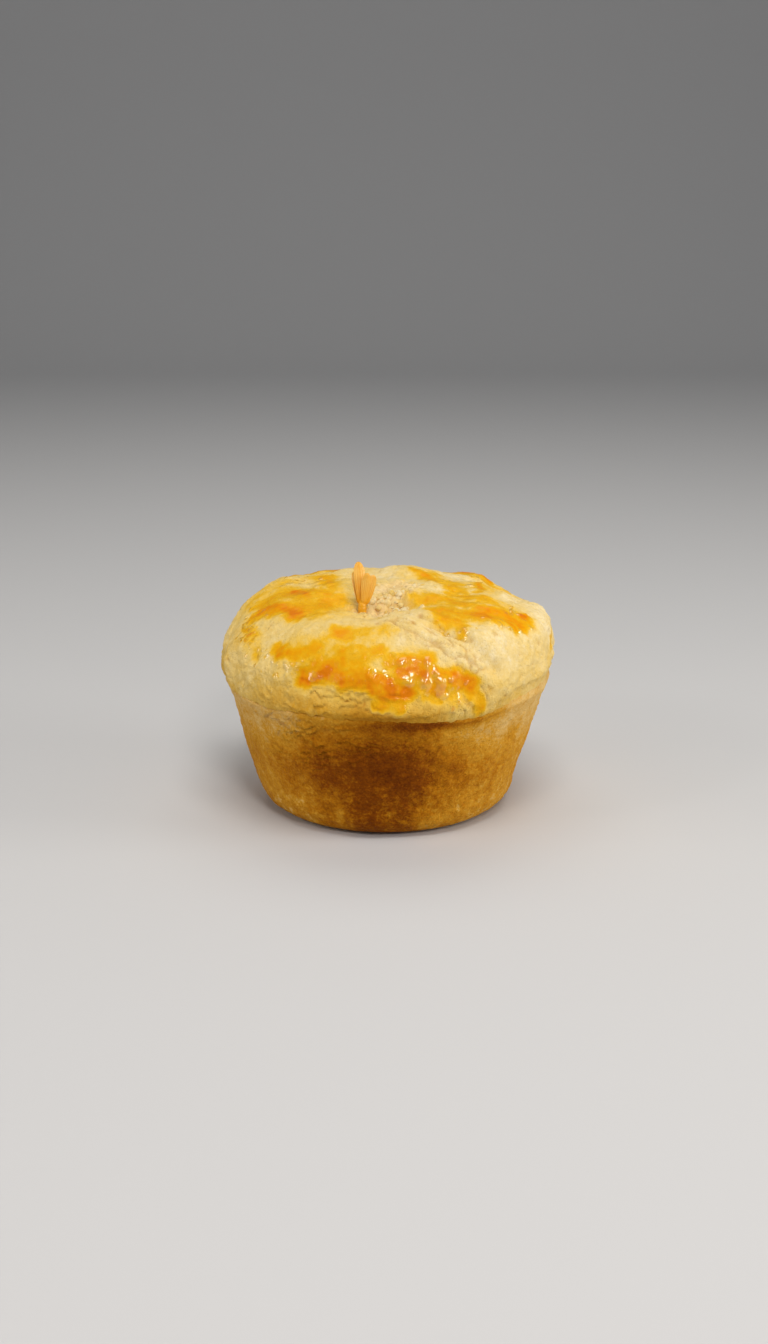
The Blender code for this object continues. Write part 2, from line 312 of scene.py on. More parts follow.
@dataclass(frozen=True)
class BakedForm:
    """The pie's form as its solids have it: a turned section, then the relief of the baked dough.

    A seam wave is a count round the pie, a height and a phase. Lumps, dimples and torn dough are each the
    length of their waves and a height. The lip stands clear of the case round two bearings, each with a
    spread in degrees.
    """

    base_radius: float = 27.9 * MM
    mould_depth: float = 30.2 * MM
    mouth_radius: float = 36.8 * MM
    base_edge_radius: float = 7.6 * MM
    lid_radius: float = 38.0 * MM
    widest_height: float = 34.4 * MM
    top_height: float = 51.6 * MM
    squareness: float = 2.5
    ring_tilt: float = 0.05
    seam_groove: float = 0.3 * MM
    lip_overhang: float = 0.4 * MM
    lip_round: float = 1.3 * MM
    seam_waves: tuple[tuple[int, float, float], ...] = (
        (3, 0.35 * MM, 0.6), (5, 0.28 * MM, 2.2), (9, 0.2 * MM, 0.0)
    )
    seam_reach: float = 1.8 * MM
    lumps: Pair = (15.0 * MM, 0.34 * MM)
    dimples: Pair = (6.5 * MM, 0.15 * MM)
    torn_dough: Pair = (5.0 * MM, 0.5 * MM)
    wall_evenness: float = 0.35
    wall_shoulder: float = 0.4 * MM
    lip_front: Pair = (-73, 27)
    lip_back: Pair = (70, 50)
    lip_back_share: float = 0.6
    relief_waves: int = 28
    relief_seed: int = 7
    vent: Swelling = Swelling(-1.0, -13.0, -2.7, 6.5, 1.35, 8)
    swellings: tuple[Swelling, ...] = (
        Swelling(3.5, 10.0, 1.7, 4.6, 1.3, 15),
        Swelling(-25.0, 14.0, 1.8, 10.0),
        Swelling(31.0, 12.0, -2.0, 8.5),
        Swelling(6.0, -29.0, 0.9, 6.0, 1.5, 5),
        Swelling(26.0, -20.0, 1.1, 7.5, 1.2, -50),
        Swelling(-20.0, -17.0, -0.7, 8.0, 1.2, 30),
    )
    pushes: tuple[Push, ...] = (
        Push(180, 33, -1.0, 38, 9),
        Push(5, 41, 0.7, 28, 4.5),
        Push(-42, 36, 0.6, 18, 4),
        Push(-80, 32.2, 1.1, 33, 1.7),
        Push(-15, 33.0, 0.4, 25, 1.7),
        Push(75, 32.4, 0.7, 45, 1.8),
    )
    creases: tuple[Crease, ...] = (
        Crease(
            ((4, -20.5, 49.5), (9, -25.5, 48.3), (15, -28.2, 46), (20, -29.7, 43), (23.5, -29.7, 39.5)),
            1.0,
            1.5,
        ),
        Crease(((-21.5, -29.5, 39), (-21.3, -30.5, 35), (-20.8, -30.6, 31.5)), 0.5, 0.9),
        Crease(((-28.5, -21.5, 42), (-28.9, -23, 37), (-28, -23.6, 32)), 0.3, 1.0),
    )

    def lip_clear(self, around: Array) -> Array:
        """How clearly the lip stands off the case: most in front on the right, and least at the sides."""
        back = self.lip_back_share * bell_round(around, *self.lip_back)
        return np.clip(bell_round(around, *self.lip_front) + back, 0, 1)

    def vent_share(self, places: Array) -> Array:
        """1 in the middle of the hollow round the tail, and 0 away from it."""
        return self.vent.share(places[:, 0], places[:, 1])

    def lid_profile(self, tucked: float) -> Profile:
        """The lid's section: a superellipse, its side, the lip's quarter ellipse, and its hidden underside.

        Args:
            tucked: How far the underside runs inwards from the lip.

        Returns:
            The section, from the middle of the top.
        """
        turn = np.linspace(math.pi / 2, 0, 1500)
        power = 2 / self.squareness
        dome = np.stack([
            self.lid_radius * np.cos(turn).clip(0) ** power,
            self.widest_height + (self.top_height - self.widest_height) * np.sin(turn) ** power,
        ], axis=1)
        down = np.linspace(0, 1, 40)[1:]
        lip_radius = self.mouth_radius + self.lip_overhang
        lip_height = self.mould_depth + self.lip_round
        side = np.stack([
            self.lid_radius + (lip_radius - self.lid_radius) * down**2,
            self.widest_height + (lip_height - self.widest_height) * down,
        ], axis=1)
        curl = np.linspace(0, math.pi / 2, 20)[1:]
        groove_radius = self.mouth_radius - self.seam_groove
        lip = np.stack([
            groove_radius + (lip_radius - groove_radius) * np.cos(curl),
            self.mould_depth + self.lip_round * (1 - np.sin(curl)),
        ], axis=1)
        underside = np.array([[groove_radius - tucked, self.mould_depth + 0.1 * tucked]])
        return Profile(np.concatenate([dome, side, lip, underside]))

    def case_profile(self, rise: float, tucked: float, flat: float) -> Profile:
        """The case's section: hidden top, straight mould wall, the round at the bottom and a flat rim.

        Args:
            rise: How far the wall goes on above the seam, inside the lid.
            tucked: Width of the hidden top.
            flat: Width of the rim of the base that is meshed finely.

        Returns:
            The section, from the inner edge of the hidden top.
        """
        slope = math.atan2(self.mouth_radius - self.base_radius, self.mould_depth)
        corner = math.pi / 2 - slope
        tangent = self.base_edge_radius * math.tan(corner / 2)
        top = self.mould_depth + rise
        inner = self.mouth_radius - self.wall_shoulder
        hidden = np.array([[inner - tucked, top], [inner, top]])
        heights = np.linspace(self.mould_depth - self.wall_shoulder, tangent * math.cos(slope), 120)
        radii = self.base_radius + (self.mouth_radius - self.base_radius) * heights / self.mould_depth
        sweep = np.linspace(corner, 0, 60)[1:]
        edge = np.stack([
            self.base_radius - tangent + self.base_edge_radius * np.sin(sweep),
            self.base_edge_radius * (1 - np.cos(sweep)),
        ], axis=1)
        rim = np.array([[self.base_radius - tangent - flat, 0.0]])
        return Profile(np.concatenate([hidden, np.stack([radii, heights], axis=1), edge, rim]))

    def waves(self, places: Array, length: float, seed: int) -> Array:
        """Smooth random height: a sum of equal plane waves with directions drawn at random.

        Args:
            places: One place a row.
            length: The length about which the waves' lengths are drawn.
            seed: The same seed gives the same waves.

        Returns:
            Heights about 0, whose squares have a mean of 1.
        """
        draw = np.random.default_rng(seed)
        ways = draw.normal(size=(self.relief_waves, 3))
        ways /= np.linalg.norm(ways, axis=1, keepdims=True)
        lengths = length * draw.uniform(0.75, 1.35, self.relief_waves)
        phases = draw.uniform(0, 2 * np.pi, self.relief_waves)
        turns = places @ (2 * np.pi * ways / lengths[:, None]).T + phases
        return np.cos(turns).sum(axis=1) * math.sqrt(2 / self.relief_waves)

    def bake(self, places: Array, normals: Array) -> Array:
        """Moves the turned surface to the baked one: lid tilt, wavy seam, swellings, creases and lumps.

        Args:
            places: Places on the turned surface.
            normals: Its normals there.

        Returns:
            The places after baking. The base stays flat.
        """
        x, y, z = places.T
        around = np.arctan2(y, x)
        on_lid = ease(z, self.mould_depth - 0.2 * MM, self.mould_depth + 1.5 * MM)
        on_top = ease(z, self.widest_height + 2 * MM, self.top_height - 4 * MM)
        near_widest = on_lid * (1 - ease(z, self.top_height - 9 * MM, self.top_height - 2 * MM))
        off_base = ease(z, 0.4 * MM, 5 * MM)
        moved = places.copy()
        moved[:, 2] += self.ring_tilt * x * near_widest
        moved[:, 2] += on_top * sum(swelling.rise(x, y) for swelling in (self.vent, *self.swellings))
        wander = sum(height * np.cos(count * around + phase) for count, height, phase in self.seam_waves)
        moved[:, 2] += wander * bell(z, self.mould_depth, self.seam_reach)
        out = off_base * sum(push.felt(around, z) for push in self.pushes) * MM
        evenness = off_base * (self.wall_evenness + (1 - self.wall_evenness) * on_lid)
        torn = on_top * self.vent_share(places)
        kinds = ((self.lumps, evenness), (self.dimples, evenness), (self.torn_dough, torn))
        for step, ((length, height), where) in enumerate(kinds):
            out += height * where * self.waves(places, length, self.relief_seed + step)
        out += on_lid * sum(crease.rise(moved) for crease in self.creases)
        return moved + normals * out[:, None]


FORM = BakedForm()


@dataclass
class Mould:
    """Arrays that become one closed mesh: points, quads, triangles and named values at the points."""

    points: Array
    quads: NDArray[np.int64]
    triangles: NDArray[np.int64]
    values: dict[str, Array] = field(default_factory=dict)

    def volume(self) -> float:
        """The volume inside: the tetrahedra between the origin and each face, summed.

        Returns:
            Cubic metres, below 0 where the faces point inwards.
        """
        corners = np.concatenate([self.triangles, self.quads[:, [0, 1, 2]], self.quads[:, [0, 2, 3]]])
        first, second, third = (self.points[corners[:, side]] for side in range(3))
        return float(np.einsum("ij,ij->i", first, np.cross(second, third)).sum() / 6)

    def cast(self, name: str) -> bpy.types.Object:
        """Makes the object, with its faces pointing outwards and smooth shading.

        Args:
            name: The object's name.

        Returns:
            The object, in the scene.
        """
        turned = slice(None, None, -1) if self.volume() < 0 else slice(None)
        faces = self.quads[:, turned].tolist() + self.triangles[:, turned].tolist()
        mesh = bpy.data.meshes.new(name)
        mesh.from_pydata(self.points.tolist(), [], faces)
        for title, numbers in self.values.items():
            layer = mesh.attributes.new(title, "FLOAT", "POINT")
            layer.data.foreach_set("value", numbers.astype(np.float32))
        mesh.shade_smooth()
        mesh.update()
        piece = bpy.data.objects.new(name, mesh)
        bpy.context.scene.collection.objects.link(piece)
        return piece


def ring_faces(rows: int, columns: int) -> NDArray[np.int64]:
    """Quads between closed rings of points, where a point has the number row * columns + column.

    Args:
        rows: How many rings.
        columns: How many points a ring.

    Returns:
        Four point numbers a row.
    """
    row, column = np.meshgrid(np.arange(rows - 1), np.arange(columns), indexing="ij")
    following = (column + 1) % columns
    corners = [row * columns + column, row * columns + following]
    corners += [(row + 1) * columns + following, (row + 1) * columns + column]
    return np.stack([corner.ravel() for corner in corners], axis=1)


def ring_grid(marks: Array, columns: int) -> tuple[Array, Array]:
    """A grid of rings: the mark of each point's row, and its angle, evenly round from 0."""
    return np.meshgrid(marks, np.linspace(0, 2 * math.pi, columns, endpoint=False), indexing="ij")


def fan_faces(ring: NDArray[np.int64], middle: int, backwards: bool) -> NDArray[np.int64]:
    """Triangles from a closed ring of points to one point in its middle.

    Args:
        ring: The ring's point numbers in order.
        middle: The middle point's number.
        backwards: Whether the triangles run against the ring's order.

    Returns:
        Three point numbers a row.
    """
    following = np.roll(ring, -1)
    first, second = (following, ring) if backwards else (ring, following)
    return np.stack([first, second, np.full(len(ring), middle)], axis=1)


def close_rings(rings: Array, start: Array, end: Array) -> Mould:
    """A closed mesh from rings of points, with a point at each end.

    Args:
        rings: Places in an array of rows, columns and three.
        start: The place that closes the first ring.
        end: The place that closes the last ring.

    Returns:
        The mesh's arrays.
    """
    rows, columns = rings.shape[:2]
    points = np.concatenate([rings.reshape(-1, 3), start[None], end[None]])
    first, last = np.arange(columns), np.arange((rows - 1) * columns, rows * columns)
    caps = [fan_faces(first, rows * columns, True), fan_faces(last, rows * columns + 1, False)]
    return Mould(points, ring_faces(rows, columns), np.concatenate(caps))


@dataclass(frozen=True)
class BrushStroke:
    """Egg wash that a brush left along a line on the lid's map, in millimetres."""

    points: tuple[Pair, ...]
    half_width: float
    strength: float

    def cover(self, spots: Array) -> Array:
        """How much wash lies at spots of the map: full up to 0.1 of its half width, and none past 1.75."""
        shares = nearest_on_line(spots, np.array(self.points)) / self.half_width
        return self.strength * (1 - ease(shares, 0.1, 1.75))


@dataclass(frozen=True)
class Blister:
    """A bubble in the wash, at a spot of the lid's map, in millimetres."""

    x: float
    y: float
    radius: float
    height: float

    def rise(self, spots: Array) -> Array:
        """Height at spots: the square of one minus the squared share of its radius."""
        share = ((spots - (self.x, self.y)) ** 2).sum(axis=1) / self.radius**2
        return self.height * MM * np.clip(1 - share, 0, 1) ** 2


@dataclass(frozen=True)
class Spatter:
    """Small drops and bubbles of wash round a spot of the lid's map, in millimetres."""

    x: float
    y: float
    reach: Pair
    count: int
    strength: float
    smallest: float = 0.35
    largest: float = 0.95
    height: float = 0.14

    def lie(self, spots: Array) -> tuple[Array, Array]:
        """The drops at spots of the map, drawn at random round the middle, whose place is the seed.

        Args:
            spots: Spots on the lid's map.

        Returns:
            How much wash the drops give, and how high they stand.
        """
        draw = np.random.default_rng(abs(round(self.x * 13 + self.y * 7)))
        middles = draw.normal(size=(self.count, 2)) * self.reach + (self.x, self.y)
        radii = draw.uniform(self.smallest, self.largest, self.count)
        shares = draw.uniform(0.35, 1.0, self.count)
        cover = np.zeros(len(spots))
        for middle, radius, share in zip(middles, radii, shares):
            away = np.linalg.norm(spots - middle, axis=1) / radius
            cover = np.maximum(cover, share * (1 - ease(away, 0.0, 1.5)))
        return self.strength * cover, self.height * MM * cover


class Brushwork:
    """The egg wash on the lid: strokes of different strength, left uneven by the brush.

    Noise of the edge length and of the fray length shifts the strokes' edges, and the drops by a share of
    that. Streaks and specks are each how much noise changes the wash, and the noise's length.
    """

    EDGE_WANDER = 2.2
    EDGE_LENGTH = 5.5 * MM
    FRAY_LENGTH = 1.9 * MM
    DROP_WANDER = 0.3
    STREAKS = (0.6, 4.2 * MM)
    SPECKS = (0.36, 1.7 * MM)

    THIN_FILM = (
        BrushStroke(((-27, 2), (-20, -6), (-14, -14)), 9.5, 0.42),
        BrushStroke(((-16, 10), (-13, 0), (-11, -8)), 5.5, 0.4),
        BrushStroke(((-32, -8), (-31, -16), (-30, -23)), 2.8, 0.4),
        BrushStroke(((-22, -29), (-10, -33), (-3, -33)), 4.6, 0.42),
        BrushStroke(((-10, -40), (4, -42), (18, -41)), 5.0, 0.45),
        BrushStroke(((9, -12), (20, -12), (28, -14)), 8.0, 0.42),
        BrushStroke(((9, 8), (15, 3), (22, 3)), 6.5, 0.42),
        BrushStroke(((-20, 22), (-12, 26)), 8.0, 0.36),
        BrushStroke(((-2, 34), (12, 33)), 7.0, 0.36),
        BrushStroke(((16, 22), (28, 20)), 8.0, 0.36),
    )
    LEFT_FIELD = (
        BrushStroke(((-28, -3), (-23, -3.5), (-18, -6), (-13, -8)), 4.6, 0.6),
        BrushStroke(((-14, 6.5), (-13, 0), (-11.5, -5)), 2.4, 0.6),
        BrushStroke(((-30, -7), (-26, -9.5), (-21.5, -13), (-19, -16.5)), 2.6, 0.77),
        BrushStroke(((-20.5, -3), (-18, -7)), 2.0, 0.74),
        BrushStroke(((-20, -12.5), (-16, -13.5), (-12, -12)), 4.4, 0.62),
        BrushStroke(((-17, -16), (-15, -19)), 3.0, 0.5),
        BrushStroke(((-33.5, -8), (-32, -13)), 1.2, 0.6),
    )
    FRONT_LEFT = (
        BrushStroke(((-11, -28), (-8, -28.5)), 2.8, 0.67),
        BrushStroke(((-6, -28.5), (0, -29.5)), 2.4, 0.52),
        BrushStroke(((-25, -25), (-23.5, -28), (-21, -30)), 2.2, 0.64),
        BrushStroke(((-20, -30.5), (-15, -31.5)), 2.8, 0.62),
        BrushStroke(((-18, -34), (-10, -33.5), (-2, -34)), 3.0, 0.56),
        BrushStroke(((-19, -36), (-12.5, -36.2)), 2.7, 0.94),
        BrushStroke(((-14.5, -36.5), (-8, -39.5), (-3, -41.5)), 3.4, 0.76),
        BrushStroke(((-13, -35), (-6, -36.5)), 2.8, 0.68),
    )
    FRONT = (
        BrushStroke(((0, -37), (5, -37), (9.5, -37)), 2.7, 0.7),
        BrushStroke(((-2.5, -41.5), (1.5, -43.5), (5, -43.5)), 2.6, 0.98),
        BrushStroke(((4, -40), (9, -41), (13, -42)), 3.0, 0.8),
        BrushStroke(((12, -39), (18, -39.5), (22, -39.5)), 2.4, 0.84),
        BrushStroke(((21, -40), (26, -42)), 2.0, 0.62),
        BrushStroke(((-2, -45.5), (4, -46)), 1.8, 0.6),
        BrushStroke(((9, -44.5), (14, -44.5)), 1.5, 0.55),
        BrushStroke(((2, -35.4), (8, -35.4)), 1.4, 0.42),
    )
    RIGHT_FIELD = (
        BrushStroke(((12, -18), (13, -21.5), (14.5, -24)), 3.6, 0.7),
        BrushStroke(((15, -19), (21, -19.5), (26, -18)), 3.8, 0.72),
        BrushStroke(((23, -16.5), (29, -16), (31.5, -15)), 3.6, 0.8),
        BrushStroke(((31, -12.5), (31.5, -17)), 2.2, 0.96),
        BrushStroke(((26.5, -18.5), (29.5, -20)), 1.8, 0.86),
        BrushStroke(((8, -10), (14, -10), (18, -13)), 3.8, 0.58),
        BrushStroke(((15, -6), (20, -8), (25, -11)), 3.2, 0.56),
        BrushStroke(((15.5, -26), (16.5, -29)), 1.3, 0.55),
    )
    BEHIND_RIDGE = (
        BrushStroke(((6.5, 8), (9, 5)), 2.6, 0.74),
        BrushStroke(((10, 4), (14, 1), (17, -4)), 3.2, 0.56),
        BrushStroke(((21.5, 7), (21.2, -2.5)), 1.4, 0.66),
        BrushStroke(((42, -6), (42.5, -10.5)), 1.3, 0.5),
    )
    SPATTERS = (
        Spatter(-31.5, -14.0, (1.3, 4.5), 60, 0.8, 0.35, 0.8, 0.26),
        Spatter(-29.5, -23.0, (1.2, 2.5), 20, 0.6, 0.35, 0.75, 0.24),
        Spatter(-21.0, 6.0, (4.0, 3.0), 30, 0.66, 0.35, 0.95, 0.24),
        Spatter(-22.5, -33.0, (2.5, 0.8), 18, 0.6, 0.4, 1.0, 0.22),
        Spatter(-5.0, -40.5, (3.0, 1.5), 14, 0.5, 0.3, 0.7, 0.18),
        Spatter(13.0, -41.5, (4.0, 1.6), 30, 0.66, 0.4, 1.0, 0.26),
        Spatter(5.0, -38.0, (3.5, 1.6), 20, 0.66, 0.4, 1.0, 0.24),
        Spatter(29.0, -12.0, (1.8, 1.8), 18, 0.75, 0.3, 0.8, 0.22),
        Spatter(27.0, -21.0, (3.0, 0.8), 18, 0.5, 0.3, 0.8, 0.2),
        Spatter(16.0, -27.0, (1.8, 1.8), 20, 0.55),
        Spatter(13.0, 1.0, (6.0, 4.0), 30, 0.55),
        Spatter(22.0, 18.0, (6.0, 4.0), 30, 0.55),
        Spatter(-24.0, 26.0, (6.0, 4.0), 30, 0.55),
    )
    OUT_OF_SIGHT = (
        BrushStroke(((-24, 20), (-17, 24), (-9, 23)), 3.8, 0.64),
        BrushStroke(((-21, 22), (-15, 24.5)), 2.0, 0.85),
        BrushStroke(((-36, 10), (-34, 17), (-29, 22)), 2.8, 0.62),
        BrushStroke(((-6, 33), (2, 35), (9, 33)), 3.8, 0.7),
        BrushStroke(((-3, 36.5), (4, 37.5)), 2.1, 0.95),
        BrushStroke(((14, 22), (21, 21), (27, 17)), 3.6, 0.62),
        BrushStroke(((19, 23), (25, 20)), 1.9, 0.85),
        BrushStroke(((27, 31), (33, 25), (36, 19)), 3.0, 0.7),
        BrushStroke(((-21, 36), (-15, 39), (-9, 40)), 2.8, 0.74),
        BrushStroke(((16, 36), (22, 36)), 2.2, 0.6),
        BrushStroke(((2, 22), (5, 26)), 2.2, 0.55),
    )
    BLISTERS = (
        Blister(3.6, -37.2, 1.5, 0.4),
        Blister(9.2, -36.9, 1.5, 0.4),
        Blister(5.8, -41.3, 1.9, 0.42),
        Blister(9.2, -41.4, 1.9, 0.45),
        Blister(11.4, -38.8, 1.2, 0.35),
        Blister(12.8, -40.6, 1.6, 0.5),
        Blister(13.2, -42.8, 1.6, 0.5),
        Blister(15.2, -43.2, 1.2, 0.35),
        Blister(15.2, -39.6, 1.0, 0.3),
        Blister(20.0, -39.2, 0.9, 0.3),
        Blister(-17.2, -36.6, 1.6, 0.4),
        Blister(-15.4, -37.4, 1.0, 0.3),
        Blister(-28.6, -22.6, 0.9, 0.32),
        Blister(-27.0, -25.8, 1.0, 0.36),
        Blister(-26.0, -28.4, 1.0, 0.36),
        Blister(-24.2, -30.8, 1.0, 0.34),
        Blister(-22.6, -31.8, 1.0, 0.3),
        Blister(-21.6, -33.0, 1.1, 0.32),
        Blister(-20.2, -33.6, 0.9, 0.28),
        Blister(28.4, -11.5, 1.2, 0.3),
        Blister(30.4, -12.5, 1.0, 0.3),
        Blister(28.1, -21.3, 1.0, 0.32),
        Blister(25.4, -21.9, 1.1, 0.36),
        Blister(31.2, -19.7, 1.1, 0.36),
        Blister(33.8, -16.2, 1.1, 0.34),
        Blister(16.7, -26.9, 1.0, 0.32),
        Blister(17.6, -28.0, 0.8, 0.28),
        Blister(19.3, 1.8, 1.3, 0.36),
    )

    def wash(self, spots: Array, places: Array) -> tuple[Array, Array]:
        """How much wash lies on the lid, about 0 to 1.2, and how high its drops and bubbles stand.

        The spots are first shifted by noise, so that the strokes' edges run ragged.

        Args:
            spots: Spots on the lid's map, in millimetres.
            places: The same spots in space.

        Returns:
            The strongest stroke or drop at each spot, made uneven by noise, and the height there.
        """
        shift = self.EDGE_WANDER * NOISE.shifts(places, self.EDGE_LENGTH, 31 * MM)
        shift += NOISE.shifts(places, self.FRAY_LENGTH, 53 * MM, 2)
        moved, near = spots + shift, spots + self.DROP_WANDER * shift
        fields = (self.LEFT_FIELD, self.FRONT_LEFT, self.FRONT, self.RIGHT_FIELD)
        strokes = sum(fields, ()) + self.THIN_FILM + self.BEHIND_RIDGE + self.OUT_OF_SIGHT
        strongest = np.zeros(len(spots))
        for stroke in strokes:
            strongest = np.maximum(strongest, stroke.cover(moved))
        height = sum(blister.rise(near) for blister in self.BLISTERS)
        for spatter in self.SPATTERS:
            drops, standing = spatter.lie(near)
            strongest = np.maximum(strongest, drops)
            height += standing
        streak, streak_length = self.STREAKS
        speck, speck_length = self.SPECKS
        uneven = 1 + streak * NOISE.at(places, streak_length)
        uneven += speck * NOISE.layers(places, speck_length, 2, 0.6)
        return strongest * uneven, height


@dataclass(frozen=True)
class Pits:
    """Small round hollows that steam left in the dough, scattered at random over a flat map.

    The radii and the corners of the map, lowest and highest, are in millimetres, and the depth is in metres.
    A hollow is left out where it is more than REACH radii away.
    """

    REACH = 2.2

    count: int
    smallest: float
    largest: float
    depth: float
    lowest: Pair
    highest: Pair
    seed: int

    def sink(self, spots: Array) -> Array:
        """How deep each spot lies: the deepest of the bell-shaped hollows within reach of it.

        Args:
            spots: Spots on the map, in millimetres.

        Returns:
            A share of the depth for each spot, 0 outside the hollows.
        """
        draw = np.random.default_rng(self.seed)
        middles = draw.uniform(self.lowest, self.highest, (self.count, 2))
        radii = draw.uniform(self.smallest, self.largest, self.count)
        shares = draw.uniform(0.4, 1.0, self.count)
        order = np.argsort(spots[:, 0])
        ranked = spots[order, 0]
        sunk = np.zeros(len(spots))
        for middle, radius, share in zip(middles, radii, shares):
            reach = self.REACH * radius
            low, high = np.searchsorted(ranked, middle[0] + np.array([-reach, reach]))
            near = order[low:high]
            away = ((spots[near] - middle) ** 2).sum(axis=1)
            sunk[near] = np.maximum(sunk[near], share * np.exp(-away / radius**2))
        return sunk


@dataclass(frozen=True)
class Flaking:
    """Layers of dough that open like shingles in a band round the pie, most at one bearing.

    A layer's thickness, its depth and the heights over which the band starts and ends are in millimetres. The
    bearing and the spread are in degrees, and least is the share that still opens far from them. Waves and
    ripples are noise that bends the layers, by so many layers, and the layers open in patches.
    """

    WAVES = (11 * MM, 11 * MM, 5 * MM)
    WAVE_LAYERS = 2.2
    RIPPLES = 2.2 * MM
    RIPPLE_LAYERS = 1.1
    PATCHES = 4.5 * MM
    PATCH_EDGE = (-0.3, 0.1)

    layer: float
    depth: float
    starts: Pair
    ends: Pair
    bearing: float
    spread: float
    least: float

    def lift(self, places: Array) -> tuple[Array, Array]:
        """The layers at places. One stands out most at its lower edge; its number is height plus noise.

        Args:
            places: Places on the baked dough.

        Returns:
            How far outward, and how deep in a crack, from 0 to 1.
        """
        x, y, z = places.T
        wander = NOISE.at(places, self.WAVES) * self.WAVE_LAYERS
        wander += NOISE.at(places, self.RIPPLES) * self.RIPPLE_LAYERS
        layer = z / MM / self.layer + wander
        share = layer - np.floor(layer)
        band = ease(z / MM, *self.starts) * (1 - ease(z / MM, *self.ends))
        where = self.least + (1 - self.least) * bell_round(np.arctan2(y, x), self.bearing, self.spread)
        patches = ease(NOISE.layers(places + 71 * MM, self.PATCHES, 2), *self.PATCH_EDGE)
        open_share = band * where * patches
        out = self.depth * MM * open_share * ((1 - share) ** 1.5 - 0.4)
        return out, open_share * ease(share, 0.45, 1.0) ** 2


@dataclass(frozen=True)
class Wrinkles:
    """Fine winding furrows in the dough, where noise passes through zero, with sizes in millimetres.

    The fine ones run beside a line on the lid's map, drawn out along one way, and the wide ones lie in
    patches. Each kind is a size of noise, and how near zero the noise makes a furrow.
    """

    beside: tuple[Pair, ...] = ((3, -25), (10, -29), (18, -34), (23, -38), (24, -42))
    reach: Pair = (2.0, 7.0)
    way: Pair = (0.86, -0.51)
    longer_along: float = 3.4
    longer_up: float = 3.0
    fine: Pair = (1.7, 0.1)
    wide: Pair = (4.2, 0.07)
    wide_share: float = 0.5
    patch: float = 7.0
    patch_edge: Pair = (-0.2, 0.25)

    def sink(self, spots: Array, places: Array) -> Array:
        """How deep in a furrow each spot lies: a bell curve over the noise, about zero.

        Args:
            spots: Spots on the lid's map, in millimetres.
            places: The same spots on the baked lid.

        Returns:
            From 0 to 1.
        """
        way_x, way_y = self.way
        along = spots @ (way_x, way_y)
        across = spots @ (-way_y, way_x)
        up = places[:, 2] / MM
        drawn_out = np.stack([along / self.longer_along, across, up / self.longer_up], axis=1) * MM
        near = 1 - ease(nearest_on_line(spots, np.array(self.beside)), *self.reach)
        patches = ease(NOISE.at(places + 29 * MM, self.patch * MM), *self.patch_edge)
        fine_size, fine_edge = self.fine
        fine = bell(NOISE.at(drawn_out, fine_size * MM), 0, fine_edge) * near
        wide_size, wide_edge = self.wide
        wide = bell(NOISE.layers(places + 61 * MM, wide_size * MM, 3, 0.6), 0, wide_edge) * patches
        return np.clip(fine + self.wide_share * wide, 0, 1)


